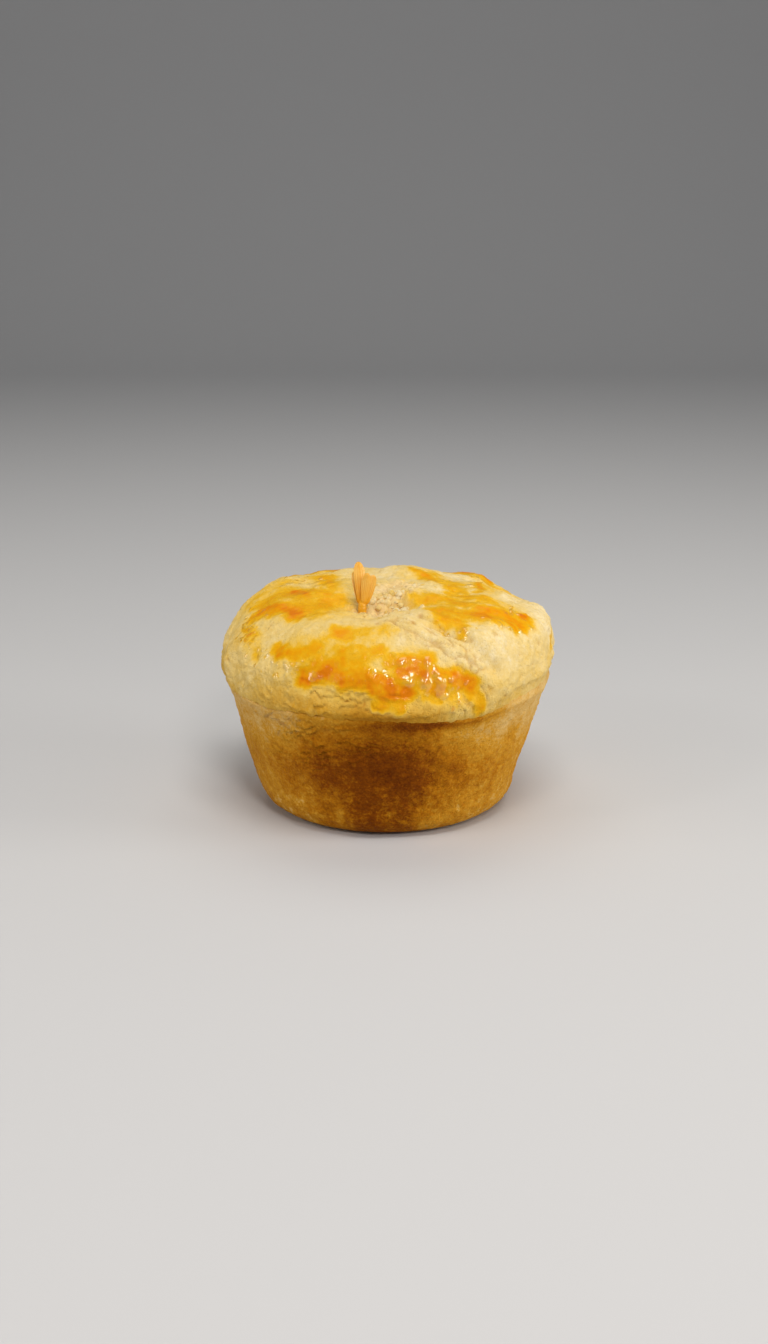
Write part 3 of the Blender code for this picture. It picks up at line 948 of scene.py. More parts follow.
@dataclass
class CrustLid:
    """The lid with its lip: a square grid wrapped over the whole lid, so that no pole shows on its top.

    Each grain is a length of noise and its height. The ragged and the browned stretch are each a bearing and
    a spread in degrees. The torn lumps' sizes and the lip's raggedness are in millimetres, and its noises are
    each a coarse and a fine length, the droop's drawn out upwards. The toasts are shares of the way from pale
    to brown, the one to the left partly painted shade. The shades are how strongly painted shade darkens each
    kind of hollow: cracks, pits, furrows and the seams between torn lumps.
    """

    steps: int = 306
    tucked: float = 2.6 * MM
    wash_thickness: float = 0.1 * MM
    washed_smooth: float = 0.55
    grain: tuple[Pair, ...] = (
        (4.6 * MM, 0.36 * MM), (2.1 * MM, 0.34 * MM), (1.05 * MM, 0.24 * MM)
    )
    flaking: Flaking = Flaking(1.5, 0.65, (30.5, 32), (36, 41), -116, 26, 0.2)
    wrinkles: Wrinkles = Wrinkles()
    furrow_depth: float = 0.42 * MM
    pits: Pits = Pits(420, 0.3, 0.8, 0.24 * MM, (-52.0, -52.0), (52.0, 52.0), 5)
    torn_depth: float = 0.75 * MM
    torn_heights: Pair = (44 * MM, 48 * MM)
    rough_dough: Swelling = Swelling(2.5, -4.5, 1.0, 6.5, 1.3, 75)
    rough_share: float = 0.8
    lump_count: int = 240
    lump_size: float = 1.2
    lump_bend: float = 0.9
    lump_corners: tuple[Pair, Pair] = ((-13, -24), (14, 8))
    lump_seed: int = 21
    lip_ragged: float = 0.4
    ragged_noise: Pair = (2.8 * MM, 1.3 * MM)
    lip_droop: float = 0.75 * MM
    droop_noise: Pair = (3.6 * MM, 1.6 * MM)
    droop_tall: float = 0.2
    lip_calm: float = 0.3
    ragged_stretch: Pair = (-112, 16)
    crease_fill: Swelling = Swelling(20.5, -29.0, 0.7, 3.8)
    toast_least: float = 0.12
    toast_low: float = 0.15
    toast_browned: float = 0.46
    toast_and_shade_left: float = 0.15
    toast_patches: float = 0.16
    browned_heights: Pair = (31 * MM, 42 * MM)
    browned_stretch: Pair = (-92, 30)
    crack_shade: float = 0.42
    pit_shade: float = 0.5
    furrow_shade: float = 0.55
    torn_shade: float = 0.45
    glossy_height: float = 0.18 * MM
    brushwork: Brushwork = field(default_factory=Brushwork)

    def map_grid(self) -> tuple[Array, Array]:
        """The grid on the lid's map: squares round the middle become circles, each side a quarter of the way.

        Returns:
            The way from the middle and the bearing of each point.
        """
        sides = np.linspace(-1, 1, self.steps + 1)
        across, along = (part.ravel() for part in np.meshgrid(sides, sides))
        wide = np.abs(across) > np.abs(along)
        longer = np.where(wide, across, along)
        shorter = np.where(wide, along, across)
        turn = math.pi / 4 * np.divide(shorter, longer, out=np.zeros_like(longer), where=longer != 0)
        bearing = np.where(wide, turn, math.pi / 2 - turn) + np.where(longer < 0, math.pi, 0)
        reach = FORM.lid_profile(self.tucked).run()[-1]
        return np.abs(longer) * reach, bearing

    def torn_lumps(self, spots: Array, places: Array, torn: Array) -> Array:
        """Lumps of torn dough: cells round random points, 1 in their middles and 0 where two cells meet.

        Args:
            spots: Spots on the lid's map, in millimetres.
            places: The same spots on the baked lid.
            torn: How torn the dough is at each spot.

        Returns:
            The lump's share of its height, 0 where the dough isn't torn.
        """
        draw = np.random.default_rng(self.lump_seed)
        middles = draw.uniform(*self.lump_corners, (self.lump_count, 2))
        share = np.zeros(len(spots))
        where = np.flatnonzero(torn > 0)
        bent = spots[where] + self.lump_bend * NOISE.shifts(places[where], 1.8 * MM, 19 * MM)
        away = np.sort(np.linalg.norm(bent[:, None] - middles, axis=2), axis=1)
        share[where] = ease(away[:, 1] - away[:, 0], 0, self.lump_size)
        return share

    def torn_share(self, turned: Array, places: Array, wash: Array) -> Array:
        """How torn the dough is: in the hollow round the tail and on the rough dough behind it, if unwashed.

        Args:
            turned: Places on the turned surface.
            places: The same places after baking.
            wash: How much wash lies there.

        Returns:
            From 0 to 1.
        """
        high = ease(turned[:, 2], *self.torn_heights)
        vent = FORM.vent_share(turned) * high
        rough = self.rough_dough.share(places[:, 0], places[:, 1]) * high
        torn = np.maximum(ease(vent, 0.25, 0.7), self.rough_share * ease(rough, 0.3, 0.75))
        return torn * (1 - ease(wash, 0.35, 0.6))

    def lip_relief(self, turned: Array, places: Array, bearing: Array) -> tuple[Array, Array]:
        """The lip's ragged edge: noise, calm except where the lip stands clear and on the ragged stretch.

        Args:
            turned: Places on the turned surface.
            places: The same places after baking.
            bearing: Their bearings from +X.

        Returns:
            How far the lip stands out, and how far it is drawn up or down.
        """
        z = turned[:, 2]
        lively = np.maximum(FORM.lip_clear(bearing), bell_round(bearing, *self.ragged_stretch))
        lively = self.lip_calm + (1 - self.lip_calm) * lively
        coarse, fine = self.ragged_noise
        ragged = self.lip_ragged * NOISE.at(places + 37 * MM, coarse)
        ragged += self.lip_ragged * NOISE.at(places + 5 * MM, fine)
        standing = bell(z, FORM.mould_depth + 1.0 * MM, 1.2 * MM) * MM * ragged * lively
        drawn_up = places * (1, 1, self.droop_tall)
        coarse, fine = self.droop_noise
        droop = NOISE.at(drawn_up, coarse) + NOISE.at(drawn_up, fine)
        droop *= self.lip_droop * lively
        return standing, droop * bell(z, FORM.mould_depth + 0.6 * MM, 0.9 * MM)

    def browning(self, turned: Array, places: Array) -> Array:
        """How brown the dough is: more low on the lid, most in front, and to the left, in soft patches.
        The darkening to the left is partly browning and partly painted shade.

        Args:
            turned: Places on the turned surface.
            places: The same places after baking.

        Returns:
            From 0, pale, to 1, brown.
        """
        x, y, z = turned.T
        low = 1 - ease(z, *self.browned_heights)
        left_browning_and_shade = ease(-x - 0.25 * y, -20 * MM, 30 * MM)
        middle, spread = (math.radians(angle) for angle in self.browned_stretch)
        browned = bell(np.arctan2(y, x), middle, spread)
        toast = self.toast_least + low * (self.toast_low + self.toast_browned * browned)
        # Darker to the left: partly browning and partly painted shade.
        toast += self.toast_and_shade_left * left_browning_and_shade
        toast += self.toast_patches * NOISE.layers(places + 43 * MM, 9 * MM, 3)
        return np.clip(toast, 0, 1)

    def surface(self, way: Array, bearing: Array) -> tuple[Array, Array, dict[str, Array]]:
        """The lid's finished surface: the baked form, with each fine relief added along its normals.

        Args:
            way: Ways from the middle of the top along the section.
            bearing: Bearings from +X.

        Returns:
            Places, turned normals, and the named values for the finish.
        """
        turned, normals = FORM.lid_profile(self.tucked).turned(way, bearing)
        places = FORM.bake(turned, normals)
        spots = np.stack([way * np.cos(bearing), way * np.sin(bearing)], axis=1) / MM
        wash, bubbles = self.brushwork.wash(spots, places)
        bare = 1 - self.washed_smooth * np.clip(wash, 0, 1)
        out = sum(height * NOISE.at(places, length) for length, height in self.grain) * bare
        flaked, cracks = self.flaking.lift(places)
        out += flaked
        furrows = self.wrinkles.sink(spots, places) * (1 - ease(wash, 0.3, 0.7))
        out -= self.furrow_depth * furrows
        torn = self.torn_share(turned, places, wash)
        lumps = self.torn_lumps(spots, places, torn)
        out += torn * self.torn_depth * (lumps - 0.5)
        sunk = self.pits.sink(spots) * bare * (1 - torn)
        out -= sunk * self.pits.depth
        out += self.wash_thickness * ease(wash, 0.2, 0.8) + bubbles
        out += self.crease_fill.rise(places[:, 0], places[:, 1])
        standing, hanging = self.lip_relief(turned, places, bearing)
        out += standing
        out *= ease(turned[:, 2], FORM.mould_depth, FORM.mould_depth + 0.8 * MM)
        places[:, 2] += hanging
        # Painted shade in cracks, pits and furrows, and in the seams between torn lumps.
        hollow = self.crack_shade * cracks + self.pit_shade * sunk + self.furrow_shade * furrows
        values = {
            "wash": wash,
            "toast": self.browning(turned, places),
            "hollow": np.clip(hollow + self.torn_shade * torn * (1 - lumps) ** 2, 0, 1),
            "torn": torn,
            "gloss": np.clip(bubbles / self.glossy_height, 0, 1),
        }
        return places + normals * out[:, None], normals, values

    def build(self) -> bpy.types.Object:
        """Makes the lid, closed by a flat underside that the case hides.

        Returns:
            The lid's object.
        """
        way, bearing = self.map_grid()
        places, _, values = self.surface(way, bearing)
        side = self.steps + 1
        row, column = np.meshgrid(np.arange(self.steps), np.arange(self.steps), indexing="ij")
        first = (row * side + column).ravel()
        quads = np.stack([first, first + 1, first + side + 1, first + side], axis=1)
        numbers = np.arange(side * side).reshape(side, side)
        rim = np.concatenate([numbers[0, :-1], numbers[:-1, -1], numbers[-1, :0:-1], numbers[:0:-1, 0]])
        underside = np.array([[0, 0, places[rim, 2].mean()]])
        points = np.concatenate([places, underside])
        triangles = fan_faces(rim, side * side, True)
        values = {name: np.append(value, 0.0) for name, value in values.items()}
        return Mould(points, quads, triangles, values).cast("crust_lid")


@dataclass
class CrustCase:
    """The case that the mould shaped: fine pores, flaking below the lid on the left, stain and painted shade.

    Each layer of its peel is a length of noise and its height. The toasts are shares of the way from pale to
    brown. The lip shadow is painted shadow under the lip; its band is a height and how far the bell curve
    reaches from it. Blotches and flecks are lengths of noise, and the blotches are drawn out upwards.
    """

    turns: int = 640
    row_spacing: float = 0.33 * MM
    rise: float = 1.4 * MM
    tucked: float = 2.5 * MM
    flat: float = 1.5 * MM
    join_bulge: float = 0.75 * MM
    # The first stain darkens the front, partly browning and partly painted shade. The second is painted
    # shadow under the lip, and the next two darken the front's foot.
    stains_and_shade: tuple[Push, ...] = (
        Push(-94, 20.5, 0.46, 35, 12),
        Push(-88, 25.5, 0.12, 27, 4.5),
        Push(-106, 4, 0.12, 10, 6),
        Push(-89, 4, 0.2, 20, 8),
        Push(-36, 22, 0.16, 5, 5),
        Push(-28, 8, -0.08, 24, 13),
        Push(-140, 17, 0.04, 20, 8),
        Push(-110, 5, -0.26, 2.0, 3.5),
        Push(-130, 6, -0.04, 8, 5),
        Push(-70, 3.5, -0.14, 7, 2.5),
        Push(60, 14, 0.2, 30, 10),
        Push(150, 12, 0.16, 25, 9),
    )
    peel: tuple[Pair, ...] = (
        (3.4 * MM, 0.2 * MM), (1.6 * MM, 0.24 * MM), (0.9 * MM, 0.22 * MM)
    )
    flaking: Flaking = Flaking(1.9, 1.2, (14, 22), (28, 30.2), -120, 26, 0.1)
    pits: Pits = Pits(2600, 0.3, 0.8, 0.3 * MM, (-116.0, 0.0), (116.0, 46.0), 9)
    relief_inside: float = 0.35
    blotch: float = 6 * MM
    blotch_tall: float = 0.42
    fleck: float = 2.4 * MM
    toast_middle: float = 0.5
    toast_blotches: float = 0.11
    toast_flecks: float = 0.16
    toast_cracks: float = 0.2
    lip_shadow_toast: float = 0.4
    toast_paler_up: float = 0.32
    lip_shadow_band: Pair = (29.2 * MM, 1.8 * MM)
    paler_heights: Pair = (14 * MM, 29 * MM)
    pit_shade: float = 0.7

    def surface(self, along: Array, around: Array) -> tuple[Array, dict[str, Array]]:
        """The wall's finished surface.

        Args:
            along: Ways along the section.
            around: Bearings from +X.

        Returns:
            Places, and the named values for the finish.
        """
        profile = FORM.case_profile(self.rise, self.tucked, self.flat)
        turned, normals = profile.turned(along, around)
        places = FORM.bake(turned, normals)
        z = turned[:, 2]
        spots = np.stack([around * FORM.mouth_radius, along], axis=1) / MM
        out = sum(height * NOISE.at(places + 91 * MM, length) for length, height in self.peel)
        sunk = self.pits.sink(spots)
        out -= sunk * self.pits.depth
        flaked, cracks = self.flaking.lift(places)
        out += flaked
        below_seam = 1 - ease(z, FORM.mould_depth - 0.3 * MM, FORM.mould_depth + 0.8 * MM)
        out *= ease(z, 0.2 * MM, 2.5 * MM) * (self.relief_inside + (1 - self.relief_inside) * below_seam)
        clear = FORM.lip_clear(around)
        shoulder = 1 - ease(z, FORM.mould_depth + 0.1 * MM, FORM.mould_depth + 1.2 * MM)
        out += self.join_bulge * (1 - clear) * bell(z, FORM.mould_depth, 2.1 * MM) * shoulder
        blotches = NOISE.layers(places * (1, 1, self.blotch_tall) + 23 * MM, self.blotch, 5, 0.66)
        flecks = ease(NOISE.layers(places + 47 * MM, self.fleck, 3, 0.7), 0.05, 0.6)
        flecks *= 1.3 - ease(z, 2 * MM, 20 * MM)
        toast = self.toast_middle + sum(stain.felt(around, z) for stain in self.stains_and_shade)
        toast += self.toast_blotches * blotches - self.toast_flecks * flecks - self.toast_cracks * cracks
        # Painted shadow in the band under the lip, where the lip stands clear of the case.
        lip_shadow = self.lip_shadow_toast * clear * bell(z, *self.lip_shadow_band)
        toast += lip_shadow - self.toast_paler_up * ease(z, *self.paler_heights)
        # Painted shade darkens the pits and the cracks between flaking layers.
        values = {
            "toast": np.clip(toast, 0, 1),
            "hollow": np.clip(self.pit_shade * sunk + cracks, 0, 1),
        }
        return places + normals * out[:, None], values

    def build(self) -> bpy.types.Object:
        """Makes the case, closed by a hidden top and by the flat base.

        Returns:
            The case's object.
        """
        length = FORM.case_profile(self.rise, self.tucked, self.flat).run()[-1]
        rows = round(length / self.row_spacing)
        along, around = (part.ravel() for part in ring_grid(np.linspace(0, length, rows), self.turns))
        places, values = self.surface(along, around)
        top = FORM.mould_depth + self.rise
        mould = close_rings(places.reshape(rows, self.turns, 3), np.array([0, 0, top]), np.zeros(3))
        mould.values = {name: np.append(value, (0.0, 0.0)) for name, value in values.items()}
        return mould.cast("crust_case")


@dataclass(frozen=True)
class Paddle:
    """One paddle of the tail's fan: its tip from the tail's foot, half its width, its bend and its ribs."""

    name: str
    tip: Triple
    half_width: float
    bend: float
    ribs: int


@dataclass
class ShrimpTail:
    """The shrimp's last body ring, sunk in the dough, and the fan of thin ribbed paddles on it.

    The grids are rows along a piece and points round it. The root width and spread are shares of a paddle's
    widest and of its tip's distance, and widest is the share of its length where it is widest.
    """

    foot: Vector = field(default_factory=lambda: Vector((-5.2, -15.5, 47.5)) * MM)
    sunk: float = 2.0 * MM
    lean: float = 7.0
    stem_half_width: float = 0.78 * MM
    stem_belly: float = 0.16
    stem_deeper: float = 1.3
    stem_height: float = 4.4 * MM
    stem_grid: tuple[int, int] = (46, 48)
    plates: float = 3.2
    plate_edge: float = 0.09
    waist: float = 0.6
    stem_along: float = 0.35
    fan_facing: Vector = field(default_factory=lambda: Vector((0.35, -0.94, 0)).normalized())
    fan_root: Vector = field(default_factory=lambda: Vector((0, 0, 2.6)) * MM)
    half_depth: float = 0.5 * MM
    widest: float = 0.68
    root_width: float = 0.5
    root_spread: float = 0.3
    rib_depth: float = 0.09 * MM
    cup_depth: float = 0.22 * MM
    paddle_grid: tuple[int, int] = (60, 56)
    paddle_along: float = 0.3
    paddles: tuple[Paddle, ...] = (
        Paddle("left_outer", (-0.9, 0.6, 12.1), 1.35, 0.03, 5),
        Paddle("left_inner", (-1.7, 2.4, 9.8), 1.15, 0.05, 5),
        Paddle("right_inner", (1.1, -1.9, 9.9), 1.1, -0.03, 5),
        Paddle("right_outer", (2.5, 0.2, 9.2), 1.15, -0.05, 5),
        Paddle("telson", (0.5, -0.5, 9.0), 0.6, 0.0, 3),
    )

    def axes(self) -> Matrix:
        """The tail's own place and lean: its foot at the origin, and up along +Z."""
        return Matrix.Translation(self.foot) @ Matrix.Rotation(-math.radians(self.lean), 4, "X")

    def placed(self, points: Array) -> Array:
        """Points from the tail's own axes in the pie's."""
        matrix = np.array(self.axes())
        return points @ matrix[:3, :3].T + matrix[:3, 3]

    def width(self, share: Array) -> Array:
        """A paddle's width along its length: it opens from its root as a sine and ends round.

        Args:
            share: How far along it, from 0 at the root to 1 at the tip.

        Returns:
            Its width as a share of its widest.
        """
        opening = np.sin(0.5 * math.pi * np.minimum(1, share / self.widest))
        past = np.maximum(0, share - self.widest) / (1 - self.widest)
        width = self.root_width + (1 - self.root_width) * opening
        return width * np.sqrt(np.maximum(0, 1 - past**2.2))

    def cast(self, name: str, rings: Array, values: dict[str, Array]) -> bpy.types.Object:
        """Makes one piece of the tail from rings of points in the tail's own axes.

        Args:
            name: The piece's name, less what all pieces of the tail begin with.
            rings: Places in an array of rows, columns and three.
            values: The named values, with the two end points last.

        Returns:
            The piece's object.
        """
        placed = self.placed(rings.reshape(-1, 3)).reshape(rings.shape)
        mould = close_rings(placed, placed[0].mean(axis=0), placed[-1].mean(axis=0))
        mould.values = values
        return mould.cast(f"tail_{name}")

    def build_stem(self) -> bpy.types.Object:
        """The body ring: a turned belly, with the shell's edges standing out in three steps.

        Returns:
            The ring's object.
        """
        rows, columns = self.stem_grid
        share, turn = ring_grid(np.linspace(0, 1, rows), columns)
        plate = (share * self.plates) % 1.0
        stepped = 1 + self.plate_edge * plate**2 + 0.02 * np.cos(9 * turn)
        half = self.stem_half_width * (1 + self.stem_belly * np.sin(math.pi * share)) * stepped
        half = half * (1 - self.waist * ease(share, 0.72, 1.0))
        height = -self.sunk + (self.stem_height + self.sunk) * share
        rings = np.stack([half * np.cos(turn), half * self.stem_deeper * np.sin(turn), height], axis=2)
        along = np.append(share * self.stem_along, (0.0, self.stem_along))
        return self.cast("stem", rings, {"along": along, "rib": np.append(plate**6, (0.0, 0.0))})

    def build_paddle(self, paddle: Paddle) -> bpy.types.Object:
        """One paddle: a flattened spindle from root to tip, bowed, with ribs along it that fade at its ends.

        Args:
            paddle: Its sizes.

        Returns:
            The paddle's object.
        """
        tip = Vector(paddle.tip) * MM
        root = self.fan_root + Vector((tip.x, tip.y, 0)) * self.root_spread
        reach = tip - root
        across = self.fan_facing.cross(reach).normalized()
        face = reach.cross(across).normalized()
        rows, columns = self.paddle_grid
        share, turn = ring_grid(0.5 - 0.5 * np.cos(np.linspace(0.04, math.pi - 0.04, rows)), columns)
        width = self.width(share)
        round_end = np.sqrt(np.clip(share * 9, 0, 1))
        side, front = np.cos(turn) * round_end, np.sin(turn) * round_end
        bow = np.sin(math.pi * share)
        fade = bow**0.5
        groove = 0.5 + 0.5 * np.cos(side * paddle.ribs * math.pi)
        depth = self.half_depth * np.sqrt(width) * (0.55 + 0.45 * (1 - side**2))
        depth = depth - self.rib_depth * groove * fade
        aside = side * paddle.half_width * MM * width
        forward = front * depth + paddle.bend * bow * reach.length + self.cup_depth * side**2 * bow
        rings = np.array(root) + share[..., None] * np.array(reach)
        rings = rings + aside[..., None] * np.array(across) + forward[..., None] * np.array(face)
        along = np.append(self.paddle_along + (1 - self.paddle_along) * share, (self.paddle_along, 1.0))
        return self.cast(paddle.name, rings, {"along": along, "rib": np.append(groove * fade, (0.0, 0.0))})

    def build(self) -> list[bpy.types.Object]:
        """Makes the ring and every paddle."""
        return [self.build_stem(), *(self.build_paddle(paddle) for paddle in self.paddles)]


@dataclass
class Crumbs:
    """Torn crumbs of dough in the hollow round the tail: small lumps, each a dented ball.

    Their middle and spread are in millimetres on the lid's map. Sunk is how far below the dough a crumb's
    middle lies, as a share of its radius.
    """

    count: int = 90
    middle: Pair = (1.5, -10.0)
    spread: Pair = (4.0, 4.6)
    sunk: float = 0.35
    most_wash: float = 0.3
    stretch: Pair = (0.65, 1.3)
    dents: Pair = (0.75, 1.2)
    toast: Pair = (0, 0.35)
    rows: int = 5
    columns: int = 8
    smallest: float = 0.4 * MM
    largest: float = 0.95 * MM
    seed: int = 12

    def build(self, lid: CrustLid) -> bpy.types.Object:
        """Makes the crumbs as one mesh, each sunk by more than half in the lid.

        Args:
            lid: The lid that they lie on.

        Returns:
            The crumbs' object.
        """
        draw = np.random.default_rng(self.seed)
        spots = self.middle + draw.normal(size=(self.count, 2)) * self.spread
        way = np.hypot(*spots.T) * MM
        places, normals, values = lid.surface(way, np.arctan2(spots[:, 1], spots[:, 0]))
        bare = values["wash"] < self.most_wash
        places, normals, count = places[bare], normals[bare], int(bare.sum())
        sizes = draw.uniform(self.smallest, self.largest, count)
        climb, turn = ring_grid(np.linspace(0, math.pi, self.rows + 2)[1:-1], self.columns)
        rings = np.stack([np.sin(climb) * np.cos(turn), np.sin(climb) * np.sin(turn), np.cos(climb)], axis=2)
        shape = close_rings(rings, np.array([0, 0, 1]), np.array([0, 0, -1]))
        ball = shape.points
        stretch = draw.uniform(*self.stretch, (count, 1, 3))
        dents = draw.uniform(*self.dents, (count, len(ball), 1))
        middles = places - normals * sizes[:, None] * self.sunk
        points = middles[:, None] + ball[None] * stretch * dents * sizes[:, None, None]
        shift = np.arange(count)[:, None, None] * len(ball)
        quads = (shape.quads[None] + shift).reshape(-1, 4)
        triangles = (shape.triangles[None] + shift).reshape(-1, 3)
        values = {"toast": np.repeat(draw.uniform(*self.toast, count), len(ball))}
        return Mould(points.reshape(-1, 3), quads, triangles, values).cast("vent_crumbs")


Stops = tuple[tuple[float, Tint], ...]


class NodeSketch:
    """A material under work: short calls for the nodes that the finishes below share."""

    def __init__(self, name: str) -> None:
        """Starts a material that holds one Principled shader.

        Args:
            name: The material's name.
        """
        self.material = bpy.data.materials.new(name)
        self.material.use_nodes = True
        self.tree = self.material.node_tree
        self.shader = self.tree.nodes["Principled BSDF"]
        self.spots = self.tree.nodes.new("ShaderNodeTexCoord").outputs["Object"]

    def feed(self, socket: Socket, value: Socket | float | tuple[float, ...]) -> None:
        """Links a socket to another, or sets its value.

        Args:
            socket: The socket that takes it.
            value: A node's output, a number or a colour.
        """
        if isinstance(value, Socket):
            self.tree.links.new(value, socket)
        else:
            socket.default_value = value

    def node(self, kind: str, **inputs: Socket | float | tuple[float, ...]) -> bpy.types.ShaderNode:
        """Adds a node.

        Args:
            kind: What its type is called after "ShaderNode".
            **inputs: What goes into its sockets, with an underscore for each space in a socket's name.

        Returns:
            The node.
        """
        node = self.tree.nodes.new(f"ShaderNode{kind}")
        for title, value in inputs.items():
            self.feed(node.inputs[title.replace("_", " ")], value)
        return node

    def value_of(self, name: str) -> Socket:
        """A named value of the mesh.

        Args:
            name: The value's name.

        Returns:
            The value, 0 where the mesh hasn't got it.
        """
        node = self.node("Attribute")
        node.attribute_name = name
        return node.outputs["Fac"]

    def noise(self, size: float, detail: float = 3.0, harsh: float = 0.55) -> Socket:
        """Noise with patches of a size, from about 0 to 1."""
        inputs = {"Vector": self.spots, "Scale": 1 / size, "Detail": detail, "Roughness": harsh}
        return self.node("TexNoise", **inputs).outputs[0]

    def cells(self, size: float) -> Socket:
        """Distance to the nearest of scattered points, a size apart."""
        return self.node("TexVoronoi", Vector=self.spots, Scale=1 / size).outputs["Distance"]

    def count(self, way: str, first: Socket | float, second: Socket | float) -> Socket:
        """Arithmetic on two values.

        Args:
            way: What is done with them, as the Math node names it.
            first: The first value.
            second: The second value.

        Returns:
            The result.
        """
        node = self.node("Math")
        node.operation = way
        self.feed(node.inputs[0], first)
        self.feed(node.inputs[1], second)
        return node.outputs[0]

    def sway(self, value: Socket, amount: float, middle: float = 0.5) -> Socket:
        """A value less its middle, times an amount."""
        return self.count("MULTIPLY", self.count("SUBTRACT", value, middle), amount)

    def fade(self, value: Socket, low: float, high: float, first: float = 0.0, last: float = 1.0) -> Socket:
        """A smooth change from first to last as a value goes from low to high.

        Args:
            value: The value.
            low: Where the change begins.
            high: Where it ends.
            first: The result up to low.
            last: The result from high on.

        Returns:
            The result.
        """
        node = self.node("MapRange", Value=value, From_Min=low, From_Max=high, To_Min=first, To_Max=last)
        node.interpolation_type = "SMOOTHSTEP"
        return node.outputs["Result"]

    def ramp(self, value: Socket, stops: Stops) -> Socket:
        """A colour that changes with a value.

        Args:
            value: The value.
            stops: Values in rising order, each with the colour there.

        Returns:
            The colour, mixed between the two nearest stops.
        """
        node = self.node("ValToRGB", Fac=value)
        elements = node.color_ramp.elements
        while len(elements) < len(stops):
            elements.new(0.5)
        for element, (place, tint) in zip(elements, stops):
            element.position = place
            element.color = tint
        return node.outputs["Color"]

    def blend(
        self,
        share: Socket | float,
        first: Socket | tuple[float, ...],
        second: Socket | tuple[float, ...],
        way: str = "MIX",
    ) -> Socket:
        """Two colours mixed, or the first darkened by the second where the way is MULTIPLY.

        Args:
            share: How much of the second, from 0 to 1.
            first: The first colour.
            second: The second colour.
            way: How they blend, as the Mix node names it.

        Returns:
            The colour.
        """
        node = self.node("Mix")
        node.data_type = "RGBA"
        node.blend_type = way
        self.feed(node.inputs[0], share)
        self.feed(node.inputs[6], first)
        self.feed(node.inputs[7], second)
        return node.outputs[2]

    def bump(self, height: Socket, distance: float, strength: float) -> None:
        """Fine relief that the mesh is too coarse for."""
        node = self.node("Bump", Distance=distance, Strength=strength, Height=height)
        self.feed(self.shader.inputs["Normal"], node.outputs["Normal"])

    def set(self, **numbers: float | tuple[float, ...]) -> None:
        """Sets the shader's own sockets, such as Coat_Roughness."""
        for title, number in numbers.items():
            self.shader.inputs[title.replace("_", " ")].default_value = number


